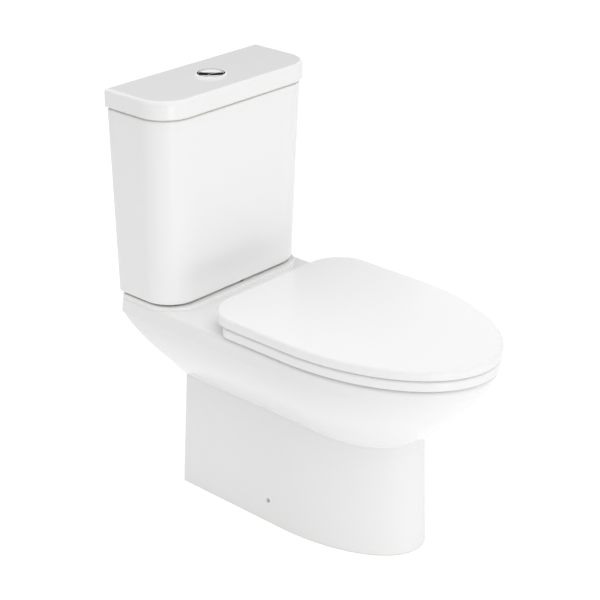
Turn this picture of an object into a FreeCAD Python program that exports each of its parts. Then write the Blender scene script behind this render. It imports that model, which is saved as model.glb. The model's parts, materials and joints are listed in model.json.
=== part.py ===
"""Close-coupled two-piece toilet: china pan, cistern and lid, seat and cover, and the works inside.

Millimetres. Z is up, the front faces -Y, X = 0 is the centre plane and the wall is at Y = overall_depth / 2.
"""
import FreeCAD, Part
import math
import os
import re
import Sketcher
from FreeCAD import Vector

DIMENSIONS = (
    ("overall_depth", 714, "wall to the front of the cover"),
    # Cistern
    ("lid_width", 385, "lid across"),
    ("lid_depth", 156, "lid, wall to front"),
    ("lid_height", 32.5, "lid edge"),
    ("lid_plate", 10, "thickness of the lid's top"),
    ("lid_corner", 61.5, "round of the lid's front corners"),
    ("lid_edge", 7, "round of the lid's top edge"),
    ("lid_lip", 8, "depth and thickness of the lip inside the tank"),
    ("lid_play", 2.5, "lip to tank wall"),
    ("tank_setback", 2, "wall to the tank's back"),
    ("tank_top_width", 377, "tank across under the lid"),
    ("tank_top_depth", 150, "tank depth under the lid"),
    ("tank_foot_width", 359, "tank across at its foot"),
    ("tank_foot_depth", 137, "tank depth at its foot"),
    ("tank_height", 358.5, "tank without its lid"),
    ("tank_corner", 62, "round of the tank's front corners"),
    ("tank_back_corner", 7.5, "round of the tank's back corners"),
    ("tank_inner_corner", 5, "round of the back corners inside tank and lid"),
    ("tank_wall", 9, "tank side"),
    ("tank_floor", 12, "tank floor"),
    ("tank_foot_edge", 7, "round of the tank's foot"),
    ("tank_rim_edge", 2, "round of the tank's upper edge"),
    ("tank_step", 4, "step round the tank's top under the lid, high and deep"),
    # Pan
    ("rim_height", 385, "floor to rim"),
    ("rim_setback", 5, "cover front to rim front"),
    ("rim_edge", 8, "round of the rim's outer edge"),
    ("deck_width", 356, "rim and deck across, at the top"),
    ("deck_setback", 5.5, "wall to the deck's back"),
    ("deck_corner", 9, "round of the deck's back corners"),
    ("deck_thickness", 26, "deck slab under the rim's level"),
    ("bow_length", 296, "cover front to where the sides begin to round"),
    ("shoulder_drop", 28, "rim to the crease under the rim band"),
    ("shoulder_width", 363, "pan across at that crease"),
    ("hull_drop", 201, "rim to the lowest hull section"),
    ("hull_waist_drop", 155, "rim to the level where the hull is as wide as its waist"),
    ("hull_waist", 216, "hull across at the waist"),
    ("hull_nose_rake", 184, "how far the hull's nose falls back at the waist"),
    ("back_ledge", 10.5, "deck's back to the top of the slope under it"),
    ("back_slope", 86, "height and length of the slope under the deck's back"),
    ("pedestal_width", 230, "pedestal across at the floor"),
    ("pedestal_back", 88, "wall to the pedestal's back at the floor"),
    ("pedestal_setback", 137, "cover front to the pedestal's front at the floor"),
    ("pedestal_bow", 227, "pedestal's front to where its sides begin to round"),
    ("pedestal_drop", 145, "rim to the pedestal's top, inside the hull"),
    ("pedestal_flare", 8, "how far the foot stands out past the top"),
    ("pedestal_corner", 8, "round of the pedestal's back corners"),
    ("china_wall", 12, "pan wall"),
    ("platform_height", 6, "tank platform above the deck"),
    ("platform_margin", 10, "platform past the tank's front"),
    ("platform_inset", 2.5, "platform short of the tank's sides"),
    ("platform_edge", 2.5, "round of the platform's top edge"),
    ("tank_gap", 3, "platform to tank, as thick as the cushions"),
    ("bowl_mouth_width", 252, "rim opening across"),
    ("bowl_mouth_back", 308, "wall to the back of the rim opening"),
    ("bowl_mouth_setback", 56, "cover front to the front of the rim opening"),
    ("bowl_mouth_edge", 6, "round of the rim opening"),
    ("rim_depth", 25, "rim to the underside of the rim's lip"),
    ("rim_undercut", 14, "how far the bowl reaches under the rim's lip"),
    ("bowl_front_wall", 34, "solid china in front of the bowl"),
    ("sump_height", 125, "floor to the middle of the sump"),
    ("sump_setback", 271, "cover front to the middle of the sump"),
    ("trap_bore", 82, "trapway bore"),
    ("trap_turn", 52, "middle of the sump to where the trapway turns up"),
    ("trap_crown_from_wall", 251, "wall to the trapway's crown"),
    ("trap_crown_height", 258, "floor to the trapway's crown"),
    ("trap_fall_from_wall", 146, "wall to where the trapway levels out"),
    ("trap_bend", 70, "radius of the trapway's bends"),
    ("outlet_height", 180, "floor to the outlet's centre"),
    ("outlet_diameter", 102, "outlet spigot outside"),
    ("outlet_length", 74, "straight spigot behind the trapway's last bend"),
    ("outlet_from_wall", 45, "wall to the end of the outlet spigot"),
    ("inlet_recess", 104, "recess for the coupling gasket"),
    ("inlet_recess_depth", 30, "platform to the floor of that recess"),
    ("inlet_bore", 64, "flush inlet under the recess"),
    ("duct_bore", 46, "flush duct to the rim"),
    ("duct_drop", 51, "rim to the middle of the flush duct"),
    # Seat and cover
    ("seat_width", 358, "seat across"),
    ("seat_from_wall", 256, "wall to the seat's back edge"),
    ("seat_setback", 2, "cover front to seat front"),
    ("seat_corner", 26, "round of the seat's back corners"),
    ("seat_thickness", 18, "seat"),
    ("seat_shell", 7, "seat walls round its hollow underside"),
    ("seat_gap", 3, "rim to seat, as thick as the buffers"),
    ("seat_edge", 5, "round of the seat's upper edges"),
    ("seat_mouth_width", 216, "seat opening across"),
    ("seat_mouth_back", 332, "wall to the back of the seat opening"),
    ("seat_mouth_setback", 72, "cover front to the front of the seat opening"),
    ("cover_width", 362, "cover across"),
    ("cover_from_wall", 218, "wall to the cover's back edge"),
    ("cover_corner", 70, "round of the cover's back corners"),
    ("cover_thickness", 17, "cover edge"),
    ("cover_shell", 5, "cover wall"),
    ("cover_gap", 2.5, "seat to cover, as thick as the buffers"),
    ("cover_edge", 6, "round of the cover's upper edge"),
    ("buffer_diameter", 18, "buffer"),
    ("buffer_stem", 6, "buffer stem, across and long"),
    ("buffer_boss", 5, "wall of the boss round a buffer's stem"),
    ("buffer_side", 135, "buffers from the centre plane"),
    ("buffer_back", 336, "wall to the rear buffers"),
    ("buffer_setback", 168, "cover front to the front buffers"),
    # Seat hinges
    ("hinge_from_wall", 232, "wall to the hinge axis"),
    ("hinge_height", 21, "rim to the hinge axis"),
    ("hinge_spacing", 155, "between the two fixing holes"),
    ("knuckle_diameter", 17, "hinge barrels"),
    ("knuckle_length", 30, "seat and cover barrels"),
    ("knuckle_gap", 0.5, "between neighbouring barrels"),
    ("post_width", 21, "hinge post across"),
    ("post_front", 18, "hinge axis to the post's front"),
    ("post_back", 0.5, "hinge axis to the post's back"),
    ("post_plate", 4, "foot plate of the post"),
    ("post_plate_width", 33, "foot plate across"),
    ("pin_diameter", 8, "hinge pin"),
    ("damper_diameter", 11, "soft-close damper"),
    ("pin_grip", 10, "length of pin or damper stub in the post"),
    ("pin_short", 2, "pin or damper short of its barrel's end"),
    ("running_fit", 0.05, "radial clearance of a turning barrel"),
    ("fixing_bolt", 8, "seat fixing bolt"),
    ("fixing_grip", 10, "seat fixing bolt in its post"),
    ("fixing_tail", 8, "seat fixing bolt past its wing nut"),
    ("fixing_cone", 26, "rubber cone under the deck"),
    ("fixing_cone_height", 6, "rubber cone under the deck"),
    ("fixing_hole", 14, "seat fixing hole in the deck"),
    ("fixing_from_hinge", 9, "hinge axis forward to the fixing bolt"),
    # Flush button
    ("flush_from_wall", 82, "wall to the flush valve and its button"),
    ("button_side", -7.5, "button's centre beside the centre plane"),
    ("bezel_diameter", 58, "bezel flange"),
    ("bezel_height", 3.5, "bezel above the lid"),
    ("sleeve_diameter", 49, "bezel sleeve"),
    ("sleeve_bore", 46, "bezel bore"),
    ("sleeve_depth", 33, "lid top to the sleeve's lower end"),
    ("lid_hole", 50, "hole in the lid"),
    ("button_play", 0.3, "button to bezel, and button to button"),
    ("button_split", 40, "round that parts the half-flush button from the full one"),
    ("button_offset", 19, "that round's centre forward of the bezel's centre"),
    ("button_height", 10, "button"),
    ("button_rise", 2.5, "button above the lid"),
    ("housing_floor", 3, "floor of the button housing"),
    ("button_nut_diameter", 66, "nut under the lid"),
    ("button_nut_height", 9, "nut under the lid"),
    ("rod_diameter", 6, "push rods"),
    ("rod_play", 0.4, "rod to its guide"),
    ("full_rod_side", 14, "full-flush rod beside the bezel's centre"),
    ("full_rod_back", 8, "full-flush rod behind the bezel's centre"),
    ("half_rod_side", 3, "half-flush rod beside the bezel's centre"),
    ("half_rod_front", 10, "half-flush rod in front of the bezel's centre"),
    ("rod_jog_height", 80, "lid top to the sideways run of the rods"),
    ("spring_diameter", 9.2, "button spring, to the wire's middle"),
    ("spring_wire", 1, "button spring wire"),
    ("spring_turns", 6, "button spring"),
    # Flush valve
    ("valve_tail", 58, "threaded tail"),
    ("valve_bore", 48, "bore of the tail"),
    ("valve_tail_length", 42, "tank foot to the tail's end"),
    ("valve_play", 1.5, "tail to tank hole"),
    ("valve_flange", 80, "flange on the tank floor"),
    ("valve_flange_height", 5, "flange on the tank floor"),
    ("valve_washer", 3, "rubber washer under the flange"),
    ("valve_nut_diameter", 86, "nut under the tank"),
    ("valve_nut_height", 14, "nut under the tank"),
    ("valve_lip_height", 6, "valve seat above the flange"),
    ("cage_diameter", 76, "open cage round the seal"),
    ("cage_wall", 3, "cage and tower wall"),
    ("cage_height", 60, "cage"),
    ("cage_window", 40, "cage windows across"),
    ("tower_diameter", 66, "tower"),
    ("tower_height", 166, "tower"),
    ("overflow_diameter", 30, "overflow tube"),
    ("overflow_wall", 2.5, "overflow tube"),
    ("overflow_rise", 32, "tower top to the tube's end"),
    ("tube_play", 0.6, "tube to its guides"),
    ("seal_diameter", 62, "flush seal"),
    ("seal_thickness", 4, "flush seal"),
    ("bell_height", 6, "foot of the overflow tube"),
    ("collar_diameter", 42, "lifting collar"),
    ("collar_height", 4, "lifting collar"),
    ("collar_clear", 11.8, "collar above the lug that the full-flush rocker lifts"),
    ("head_plate", 4, "plate on the tower"),
    ("head_width", 44, "plate on the tower, front to back"),
    ("pivot_height", 12, "tower top to the rocker pivots"),
    ("pivot_side", 40, "rocker pivots from the centre plane"),
    ("rocker_inner", 23, "pivot to the rocker's inner end"),
    ("rocker_outer", 12, "pivot to the push rod"),
    ("rocker_height", 5, "rocker"),
    ("rocker_width", 8, "rocker"),
    ("rocker_pin", 4, "rocker pin"),
    ("rocker_play", 0.5, "rocker to lug and cheeks"),
    ("rod_gap", 1.6, "rod to rocker, which tilts under it"),
    ("cheek_width", 6, "pivot cheeks, along the rocker"),
    ("cheek_thickness", 3, "pivot cheeks"),
    # Fill valve
    ("fill_side", 125, "fill valve from the centre plane"),
    ("fill_from_wall", 76, "wall to the fill valve"),
    ("fill_thread", 20.96, "inlet thread, half-inch pipe"),
    ("fill_bore", 12, "inlet bore"),
    ("fill_tail_length", 48, "tank foot to the inlet's end"),
    ("fill_play", 0.6, "inlet to tank hole"),
    ("fill_relief", 1, "thread relief under the lock nut, long and wide"),
    ("fill_flange", 34, "flange on the tank floor"),
    ("fill_flange_height", 5, "flange on the tank floor"),
    ("fill_washer", 3, "rubber washer under the flange"),
    ("fill_nut", 32, "lock nut across flats"),
    ("fill_nut_height", 10, "lock nut"),
    ("fill_passage", 50, "hole in the deck round the inlet"),
    ("fill_riser", 24, "riser tube"),
    ("fill_riser_height", 226, "riser tube above its flange"),
    ("fill_cap", 40, "cap of the fill valve"),
    ("fill_cap_height", 36, "cap of the fill valve"),
    ("fill_cap_socket", 8, "riser into its cap"),
    ("float_diameter", 60, "float"),
    ("float_height", 80, "float"),
    ("float_wall", 2.5, "float"),
    ("float_drop", 15, "cap to float, with the tank empty"),
    ("float_play", 1, "float to riser"),
    ("link_side", 40, "riser to the float's link rod"),
    ("link_diameter", 4, "link rod"),
    ("link_play", 1.2, "link rod to lever"),
    ("lever_pivot", 16, "riser to the lever's pivot"),
    ("lever_rise", 6.5, "cap to the lever's pivot"),
    ("lever_height", 5, "lever"),
    ("lever_width", 6, "lever"),
    ("lever_end", 4, "lever past its pivot and past the link"),
    ("lever_pin", 3, "lever pin"),
    # Cistern fixings
    ("bolt_spacing", 170, "between the two cistern bolts"),
    ("bolt_diameter", 8, "cistern bolts"),
    ("bolt_head", 20, "cistern bolt heads"),
    ("bolt_head_height", 6, "cistern bolt heads"),
    ("bolt_play", 1.5, "bolt to its holes"),
    ("bolt_seal", 26, "rubber seal under the bolt head"),
    ("bolt_seal_height", 4, "rubber seal under the bolt head"),
    ("bolt_plate", 26, "metal washer under the deck"),
    ("bolt_plate_height", 2, "metal washer under the deck"),
    ("bolt_tail", 8, "bolt past its wing nut"),
    ("wing_hub", 16, "wing nut hub"),
    ("wing_span", 32, "wing nut across its wings"),
    ("wing_height", 14, "wing nut"),
    ("wing_thickness", 4, "wing nut's wings"),
    ("gasket_diameter", 102, "coupling gasket"),
    ("gasket_play", 0.5, "gasket to the tail inside it"),
    ("cushion_diameter", 24, "cushions under the tank"),
    ("cushion_side", 140, "cushions from the centre plane"),
    ("cushion_back", 38, "wall to the rear cushions"),
    ("cushion_front", 110, "wall to the front cushions"),
    # Floor fixings
    ("screw_behind", 36, "where the pedestal's sides begin to round, back to the side screws"),
    ("screw_height", 44, "floor to the side screws"),
    ("screw_diameter", 6, "side screw"),
    ("screw_head", 8.4, "side screw head"),
    ("screw_head_height", 4, "side screw head"),
    ("screw_recess", 3, "screw head behind the pan's face"),
    ("screw_hole", 9, "counterbore in the pan's side"),
    ("screw_play", 0.3, "screw to its hole in the pan"),
    ("screw_tail", 4, "screw past its bracket"),
    ("bracket_plate", 4, "floor bracket"),
    ("bracket_width", 40, "floor bracket, front to back"),
    ("bracket_height", 62, "floor bracket"),
    ("bracket_foot", 46, "floor bracket along the floor"),
    ("bracket_gap", 0.5, "bracket to the pan's wall"),
    ("bracket_hole", 7, "floor screw hole"),
    ("bracket_hole_inset", 26, "bracket's back to the floor screw hole"),
)
ALIASES = {alias for alias, size, meaning in DIMENSIONS}
WORD = re.compile(r"[a-z_]+")
OVERSHOOT = 5

doc = FreeCAD.newDocument("close_coupled_toilet")
sheet = doc.addObject("Spreadsheet::Sheet", "dims")
for row, (alias, size, meaning) in enumerate(DIMENSIONS, 1):
    sheet.set(f"A{row}", meaning)
    sheet.set(f"B{row}", str(size))
    sheet.setAlias(f"B{row}", alias)
doc.recompute()


def bound(formula):
    """The formula with each dimension's alias pointed at the spreadsheet."""
    return WORD.sub(lambda word: "dims." * (word.group() in ALIASES) + word.group(), formula)


def value(formula):
    """The formula's size as a number."""
    return float(sheet.evalExpression(bound(formula)))


def out(distance):
    """The Y of a point at that distance from the wall."""
    return f"(overall_depth / 2 - ({distance}))"


# Levels that several pieces share
DECK_TOP = "(rim_height + platform_height)"
PEDESTAL_TOP = "(rim_height - pedestal_drop)"
DECK_UNDER = "(rim_height - deck_thickness)"
TANK_FOOT = f"({DECK_TOP} + tank_gap)"
TANK_FLOOR = f"({TANK_FOOT} + tank_floor)"
TANK_TOP = f"({TANK_FOOT} + tank_height)"
LID_TOP = f"({TANK_TOP} + lid_height)"
LID_UNDER = f"({LID_TOP} - lid_plate)"
SEAT_FOOT = "(rim_height + seat_gap)"
SEAT_TOP = f"({SEAT_FOOT} + seat_thickness)"
COVER_FOOT = f"({SEAT_TOP} + cover_gap)"
COVER_TOP = f"({COVER_FOOT} + cover_thickness)"
HINGE_AXIS = "(rim_height + hinge_height)"
BUTTON_TOP = f"({LID_TOP} + button_rise)"
BUTTON_FOOT = f"({BUTTON_TOP} - button_height)"
SLEEVE_FOOT = f"({LID_TOP} - sleeve_depth)"
VALVE_FLANGE = f"({TANK_FLOOR} + valve_washer)"
CAGE_FOOT = f"({VALVE_FLANGE} + valve_flange_height)"
VALVE_SEAT = f"({CAGE_FOOT} + valve_lip_height)"
TOWER_FOOT = f"({CAGE_FOOT} + cage_height)"
TOWER_TOP = f"({TOWER_FOOT} + tower_height)"
PIVOT = f"({TOWER_TOP} + pivot_height)"
LUG_FOOT = f"({PIVOT} + rocker_height / 2 + rocker_play)"
COLLAR_FOOT = f"({LUG_FOOT} + collar_clear)"
RECESS_FLOOR = f"({DECK_TOP} - inlet_recess_depth)"
FILL_FLANGE = f"({TANK_FLOOR} + fill_washer)"
RISER_TOP = f"({FILL_FLANGE} + fill_flange_height + fill_riser_height)"
CAP_TOP = f"({RISER_TOP} - fill_cap_socket + fill_cap_height)"
FLOAT_TOP = f"({RISER_TOP} - fill_cap_socket - float_drop)"
LEVER_PIVOT = f"({CAP_TOP} + lever_rise)"

# Distances from the wall that several pieces share
BOW_START = "overall_depth - bow_length"
SUMP = "overall_depth - sump_setback"
MOUTH_FRONT = "overall_depth - bowl_mouth_setback"
PEDESTAL_BOW = "overall_depth - pedestal_setback - pedestal_bow"
SIDE_SCREWS = f"{PEDESTAL_BOW} - screw_behind"


# Building blocks
def place(item, x="0", y="0", z="0"):
    """Bind an object's position to formulas."""
    for axis, formula in zip("xyz", (x, y, z)):
        item.setExpression(f"Placement.Base.{axis}", bound(formula))
    return item


def new_body(label):
    body = doc.addObject("PartDesign::Body", label)
    body.Label = label
    return body


def new_sketch(body, role, offset="0"):
    """A sketch on one of the body's own origin planes, moved along its normal."""
    sketch = body.newObject("Sketcher::SketchObject", f"{body.Name}_sketch")
    sketch.AttachmentSupport = [(next(p for p in body.Origin.OriginFeatures if p.Role == role), "")]
    sketch.MapMode = "FlatFace"
    sketch.setExpression("AttachmentOffset.Base.z", bound(offset))
    return sketch


def constrain(sketch, kind, formula, *where):
    """A dimension of the sketch, bound to a formula."""
    row = sketch.addConstraint(Sketcher.Constraint(kind, *where, value(formula)))
    sketch.setExpression(f"Constraints[{row}]", bound(formula))


def pin_point(sketch, geometry, position, x, y):
    constrain(sketch, "DistanceX", x, -1, 1, geometry, position)
    constrain(sketch, "DistanceY", y, -1, 1, geometry, position)


def polygon(sketch, corners):
    """A closed run of straight lines between corners given as formulas."""
    points = [Vector(value(x), value(y), 0) for x, y in corners]
    first = sketch.GeometryCount
    count = len(points)
    for i in range(count):
        sketch.addGeometry(Part.LineSegment(points[i], points[(i + 1) % count]), False)
    for i, (x, y) in enumerate(corners):
        sketch.addConstraint(Sketcher.Constraint("Coincident", first + i, 2, first + (i + 1) % count, 1))
        pin_point(sketch, first + i, 1, x, y)


def circle(sketch, x, y, diameter):
    shape = Part.Circle(Vector(value(x), value(y), 0), Vector(0, 0, 1), value(diameter) / 2)
    geometry = sketch.addGeometry(shape, False)
    pin_point(sketch, geometry, 3, x, y)
    constrain(sketch, "Diameter", diameter, geometry)


def rounded_rectangle(sketch, half_width, back, front, back_round, front_round):
    """A rectangle about the centre plane with its own rounds at the back and at the front."""
    side, rear, nose = value(half_width), value(back), value(front)
    small, large = value(back_round), value(front_round)
    first = sketch.GeometryCount
    corners = (
        (Vector(side, nose + large, 0), Vector(side, rear - small, 0), small),
        (Vector(side - small, rear, 0), Vector(small - side, rear, 0), small),
        (Vector(-side, rear - small, 0), Vector(-side, nose + large, 0), large),
        (Vector(large - side, nose, 0), Vector(side - large, nose, 0), large),
    )
    for i, (start, end, radius) in enumerate(corners):
        sketch.addGeometry(Part.LineSegment(start, end), False)
        inward = Vector(-(end - start).y, (end - start).x, 0).normalize()
        arc = Part.Circle(end + inward * radius, Vector(0, 0, 1), radius)
        sketch.addGeometry(Part.ArcOfCircle(arc, i * math.pi / 2, (i + 1) * math.pi / 2), False)
    for i in range(8):
        sketch.addConstraint(Sketcher.Constraint("Tangent", first + i, 2, first + (i + 1) % 8, 1))
    for line, direction in zip(range(0, 8, 2), ("Vertical", "Horizontal") * 2):
        sketch.addConstraint(Sketcher.Constraint(direction, first + line))
    constrain(sketch, "DistanceX", half_width, -1, 1, first, 1)
    constrain(sketch, "DistanceY", back, -1, 1, first + 2, 1)
    constrain(sketch, "DistanceX", f"-({half_width})", -1, 1, first + 4, 1)
    constrain(sketch, "DistanceY", front, -1, 1, first + 6, 1)
    for arc, formula in zip((1, 3, 5, 7), (back_round, back_round, front_round, front_round)):
        constrain(sketch, "Radius", formula, first + arc)


def pad(body, sketch, length, midplane=False, kind="PartDesign::Pad", reverse=False):
    feature = body.newObject(kind, f"{body.Name}_pad")
    feature.Profile = sketch
    feature.setExpression("Length", bound(length))
    feature.Midplane = midplane
    feature.Reversed = reverse
    doc.recompute()
    return feature


def pocket(body, sketch, length, midplane=False, reverse=False):
    """A pocket that is checked to have cut something."""
    before = body.Shape.Volume
    feature = pad(body, sketch, length, midplane, "PartDesign::Pocket", reverse)
    if body.Shape.Volume > before - 1:
        raise RuntimeError(f"the pocket in {body.Label} cut nothing")
    return feature


def fillet(body, base, radius, test):
    """Round the edges of the base feature that pass the test."""
    doc.recompute()
    feature = body.newObject("PartDesign::Fillet", f"{body.Name}_round")
    feature.Base = (base, [f"Edge{i}" for i, edge in enumerate(base.Shape.Edges, 1) if test(edge)])
    feature.setExpression("Radius", bound(radius))
    doc.recompute()
    return feature


def at_level(z):
    """A test for edges that lie flat at that height."""
    level = value(z)
    return lambda edge: abs(edge.BoundBox.ZMin - level) + abs(edge.BoundBox.ZMax - level) < 0.01


def turned(label, profile, x="0", y="0"):
    """A body turned about its own upright axis from a profile of (radius, height) corners."""
    body = new_body(label)
    sketch = new_sketch(body, "XZ_Plane")
    polygon(sketch, profile)
    feature = body.newObject("PartDesign::Revolution", f"{label}_turn")
    feature.Profile = sketch
    feature.ReferenceAxis = (sketch, ["V_Axis"])
    feature.Angle = 360
    doc.recompute()
    return place(body, x, y)


def ring(label, outside, inside, low, high, x="0", y="0"):
    """A plain ring: washer, nut, seal or sleeve."""
    profile = ((f"{inside} / 2", low), (f"{outside} / 2", low))
    profile += ((f"{outside} / 2", high), (f"{inside} / 2", high))
    return turned(label, profile, x, y)


def box(name, low, high):
    """A box between two corners given as formulas."""
    item = doc.addObject("Part::Box", name)
    for side, start, end in zip(("Length", "Width", "Height"), low, high):
        item.setExpression(side, bound(f"({end}) - ({start})"))
    return place(item, *low)


def rod(name, diameter, start, length, axis="z"):
    """A cylinder from a point along an axis."""
    item = doc.addObject("Part::Cylinder", name)
    item.setExpression("Radius", bound(f"({diameter}) / 2"))
    item.setExpression("Height", bound(length))
    turn = {"z": (Vector(0, 0, 1), 0), "x": (Vector(0, 1, 0), 90), "y": (Vector(1, 0, 0), -90)}[axis]
    item.Placement.Rotation = FreeCAD.Rotation(*turn)
    return place(item, *start)


def fused(label, items):
    joined = doc.addObject("Part::MultiFuse", label)
    joined.Shapes = items
    joined.Refine = True
    joined.Label = label
    return joined


def cut(label, base, tools):
    """The base less its tools, checked to have cut something."""
    result = doc.addObject("Part::Cut", label)
    result.Base = base
    result.Tool = tools[0] if len(tools) == 1 else fused(f"{label}_cutters", tools)
    result.Label = label
    doc.recompute()
    if result.Shape.Volume > base.Shape.Volume - 1:
        raise RuntimeError(f"the cut in {label} took nothing away")
    return result


def group(label, items):
    compound = doc.addObject("Part::Compound", label)
    compound.Links = items
    compound.Label = label
    return compound


def mirrored(item):
    """The item's mirror image across the centre plane."""
    twin = doc.addObject("Part::Mirroring", f"{item.Name}_mirror")
    twin.Source = item
    twin.Normal = Vector(1, 0, 0)
    return twin


def pair(label, item):
    """An item and its mirror image as one group of two solids."""
    return group(label, [item, mirrored(item)])


def shaped(label, shape):
    """An object whose form comes from Part's own functions."""
    item = doc.addObject("Part::Feature", label)
    item.Label = label
    item.Shape = shape
    return item


def wing_nut(name, x, y, top, bore):
    """A hub with two wings, hung under its seat."""
    foot = f"({top} - wing_height)"
    hub = rod(f"{name}_hub", "wing_hub", (x, y, foot), "wing_height")
    wings_low = (f"({x}) - wing_span / 2", f"({y}) - wing_thickness / 2", foot)
    wings_high = (f"({x}) + wing_span / 2", f"({y}) + wing_thickness / 2", f"{top} - wing_height / 3")
    wings = box(f"{name}_wings", wings_low, wings_high)
    hole = rod(f"{name}_hole", bore, (x, y, f"{foot} - {OVERSHOOT}"), f"wing_height + {2 * OVERSHOOT}")
    return cut(name, fused(f"{name}_blank", [hub, wings]), [hole])


# Outlines with an elliptical nose, for the china and the seat
def quarter(x, y, radius, turn, z):
    """A quarter circle that begins that many quarter turns on from +X."""
    ring_line = Part.Circle(Vector(x, y, z), Vector(0, 0, 1), radius)
    return Part.ArcOfCircle(ring_line, turn * math.pi / 2, (turn + 1) * math.pi / 2).toShape()


def line(start, end):
    return Part.LineSegment(start, end).toShape()


def back_half(half_width, back, reach, corner, z):
    """The outline's back from the right side at reach, round both corners, to the left side."""
    right, left, turn = half_width - corner, corner - half_width, back - corner
    edges = [line(Vector(half_width, reach, z), Vector(half_width, turn, z))]
    edges.append(quarter(right, turn, corner, 0, z))
    edges.append(line(Vector(right, back, z), Vector(left, back, z)))
    edges.append(quarter(left, turn, corner, 1, z))
    edges.append(line(Vector(-half_width, turn, z), Vector(-half_width, reach, z)))
    return edges


def ellipse_to(half_width, middle, front, z):
    """An ellipse about the centre plane and the turns at which it meets its left, nose and right."""
    centre = Vector(0, middle, z)
    side = Vector(half_width, middle, z)
    nose = Vector(0, front, z)
    if middle - front > half_width:
        return Part.Ellipse(nose, side, centre), (-math.pi / 2, 0, math.pi / 2)
    return Part.Ellipse(side, centre * 2 - nose, centre), (math.pi, 1.5 * math.pi, 2 * math.pi)


def egg(half_width, back, bow, front, corner, z):
    """Straight sides, rounded back corners and a half-elliptical nose, as a wire at height z."""
    ellipse, turns = ellipse_to(half_width, bow, front, z)
    edges = [Part.ArcOfEllipse(ellipse, turns[i], turns[i + 1]).toShape() for i in range(2)]
    return Part.Wire(edges + back_half(half_width, back, bow, corner, z))


def rounded_plan(half_width, back, front, back_round, front_round, z):
    """A rectangle about the centre plane with rounded corners, as a wire at height z."""
    turn = front + front_round
    edges = back_half(half_width, back, turn, back_round, z)
    edges.append(quarter(front_round - half_width, turn, front_round, 2, z))
    edges.append(line(Vector(front_round - half_width, front, z), Vector(half_width - front_round, front, z)))
    edges.append(quarter(half_width - front_round, turn, front_round, 3, z))
    return Part.Wire(edges)


def oval(half_width, back, front, z):
    """An ellipse across the centre plane, as a wire at height z."""
    return Part.Wire(ellipse_to(half_width, (back + front) / 2, front, z)[0].toShape())


def slab(wire, height):
    return Part.Face(wire).extrude(Vector(0, 0, height))


def rounded_edges(solid, radius, test):
    return solid.makeFillet(radius, [edge for edge in solid.Edges if test(edge)])


def upright(diameter, x, y, low, high):
    """A plain upright cylinder, for holes and bosses in shaped pieces."""
    foot = value(low)
    return Part.makeCylinder(value(diameter) / 2, value(high) - foot, Vector(value(x), value(y), foot))


def across(diameter, start, end, y, z):
    """A plain cylinder along X."""
    begin = value(start)
    base = Vector(begin, value(y), value(z))
    return Part.makeCylinder(value(diameter) / 2, value(end) - begin, base, Vector(1, 0, 0))


def block(low, high):
    """A plain box between two corners given as formulas, for shaped pieces."""
    corner = Vector(*[value(formula) for formula in low])
    size = Vector(*[value(formula) for formula in high]) - corner
    return Part.makeBox(size.x, size.y, size.z, corner)


# Pan
def hull_section(z, inset, back):
    """The pan's outline at a level: a band that leans out, then sides and nose that fall in."""
    drop = value("rim_height") - z
    lean = min(1.0, drop / value("shoulder_drop"))
    fall = max(0.0, drop - value("shoulder_drop")) / value("hull_waist_drop - shoulder_drop")
    half_width = value("deck_width / 2") + value("(shoulder_width - deck_width) / 2") * lean
    half_width -= value("(shoulder_width - hull_waist) / 2") * fall ** 1.7
    rake = value("hull_nose_rake") * (drop / value("hull_drop")) ** 1.47
    front = value(out("overall_depth - rim_setback")) + rake
    return egg(half_width - inset, back, value(out(BOW_START)), front + inset, value("deck_corner"), z)


def hull_levels(top):
    """Six levels from the top to the lowest hull section."""
    bottom = value("rim_height - hull_drop")
    return [top + (bottom - top) * step / 5 for step in range(6)]


def pedestal_section(z, inset, back_shift):
    lean = value("pedestal_flare") * z / value(PEDESTAL_TOP)
    half_width = value("pedestal_width / 2") - lean - inset
    back = value(out("pedestal_back")) - lean + back_shift
    front = value(out("overall_depth - pedestal_setback")) + lean + inset
    return egg(half_width, back, value(out(PEDESTAL_BOW)), front, value("pedestal_corner"), z)


def rim_band(back, shoulder):
    """The upright band between the rim and the crease under it."""
    rim = value("rim_height")
    levels = (shoulder, (shoulder + rim) / 2, rim)
    band = Part.makeLoft([hull_section(z, 0, back) for z in levels], True, False)
    return rounded_edges(band, value("rim_edge"), at_level("rim_height"))


def hull(back, shoulder):
    """The swelling body under the rim band, cut off on a slope under the deck's back."""
    solid = Part.makeLoft([hull_section(z, 0, back) for z in hull_levels(shoulder)], True, False)
    slope = value("back_slope")
    start = back - value("back_ledge")
    under = value("rim_height - hull_drop") - OVERSHOOT
    profile = [(start, shoulder), (start - slope, shoulder - slope), (start - slope, under)]
    profile += [(back + OVERSHOOT, under), (back + OVERSHOOT, shoulder)]
    side = value("shoulder_width")
    face = Part.Face(Part.makePolygon([Vector(-side, y, z) for y, z in profile + profile[:1]]))
    return solid.cut(face.extrude(Vector(2 * side, 0, 0)))


def pan_outside():
    """The china's outer form: rim band, hull, pedestal and tank platform."""
    shoulder = value("rim_height - shoulder_drop")
    back = value(out("deck_setback"))
    levels = (0, value(PEDESTAL_TOP))
    pedestal = Part.makeLoft([pedestal_section(z, 0, 0) for z in levels], True, True)
    half_width = value("tank_foot_width / 2 - platform_inset")
    front = value(out("tank_setback + tank_foot_depth + platform_margin"))
    plan = rounded_plan(half_width, back, front, value("deck_corner"), value("tank_corner"), shoulder)
    platform = slab(plan, value(DECK_TOP) - shoulder)
    platform = rounded_edges(platform, value("platform_edge"), at_level(DECK_TOP))
    return rim_band(back, shoulder).multiFuse([hull(back, shoulder), pedestal, platform]).removeSplitter()


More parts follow.
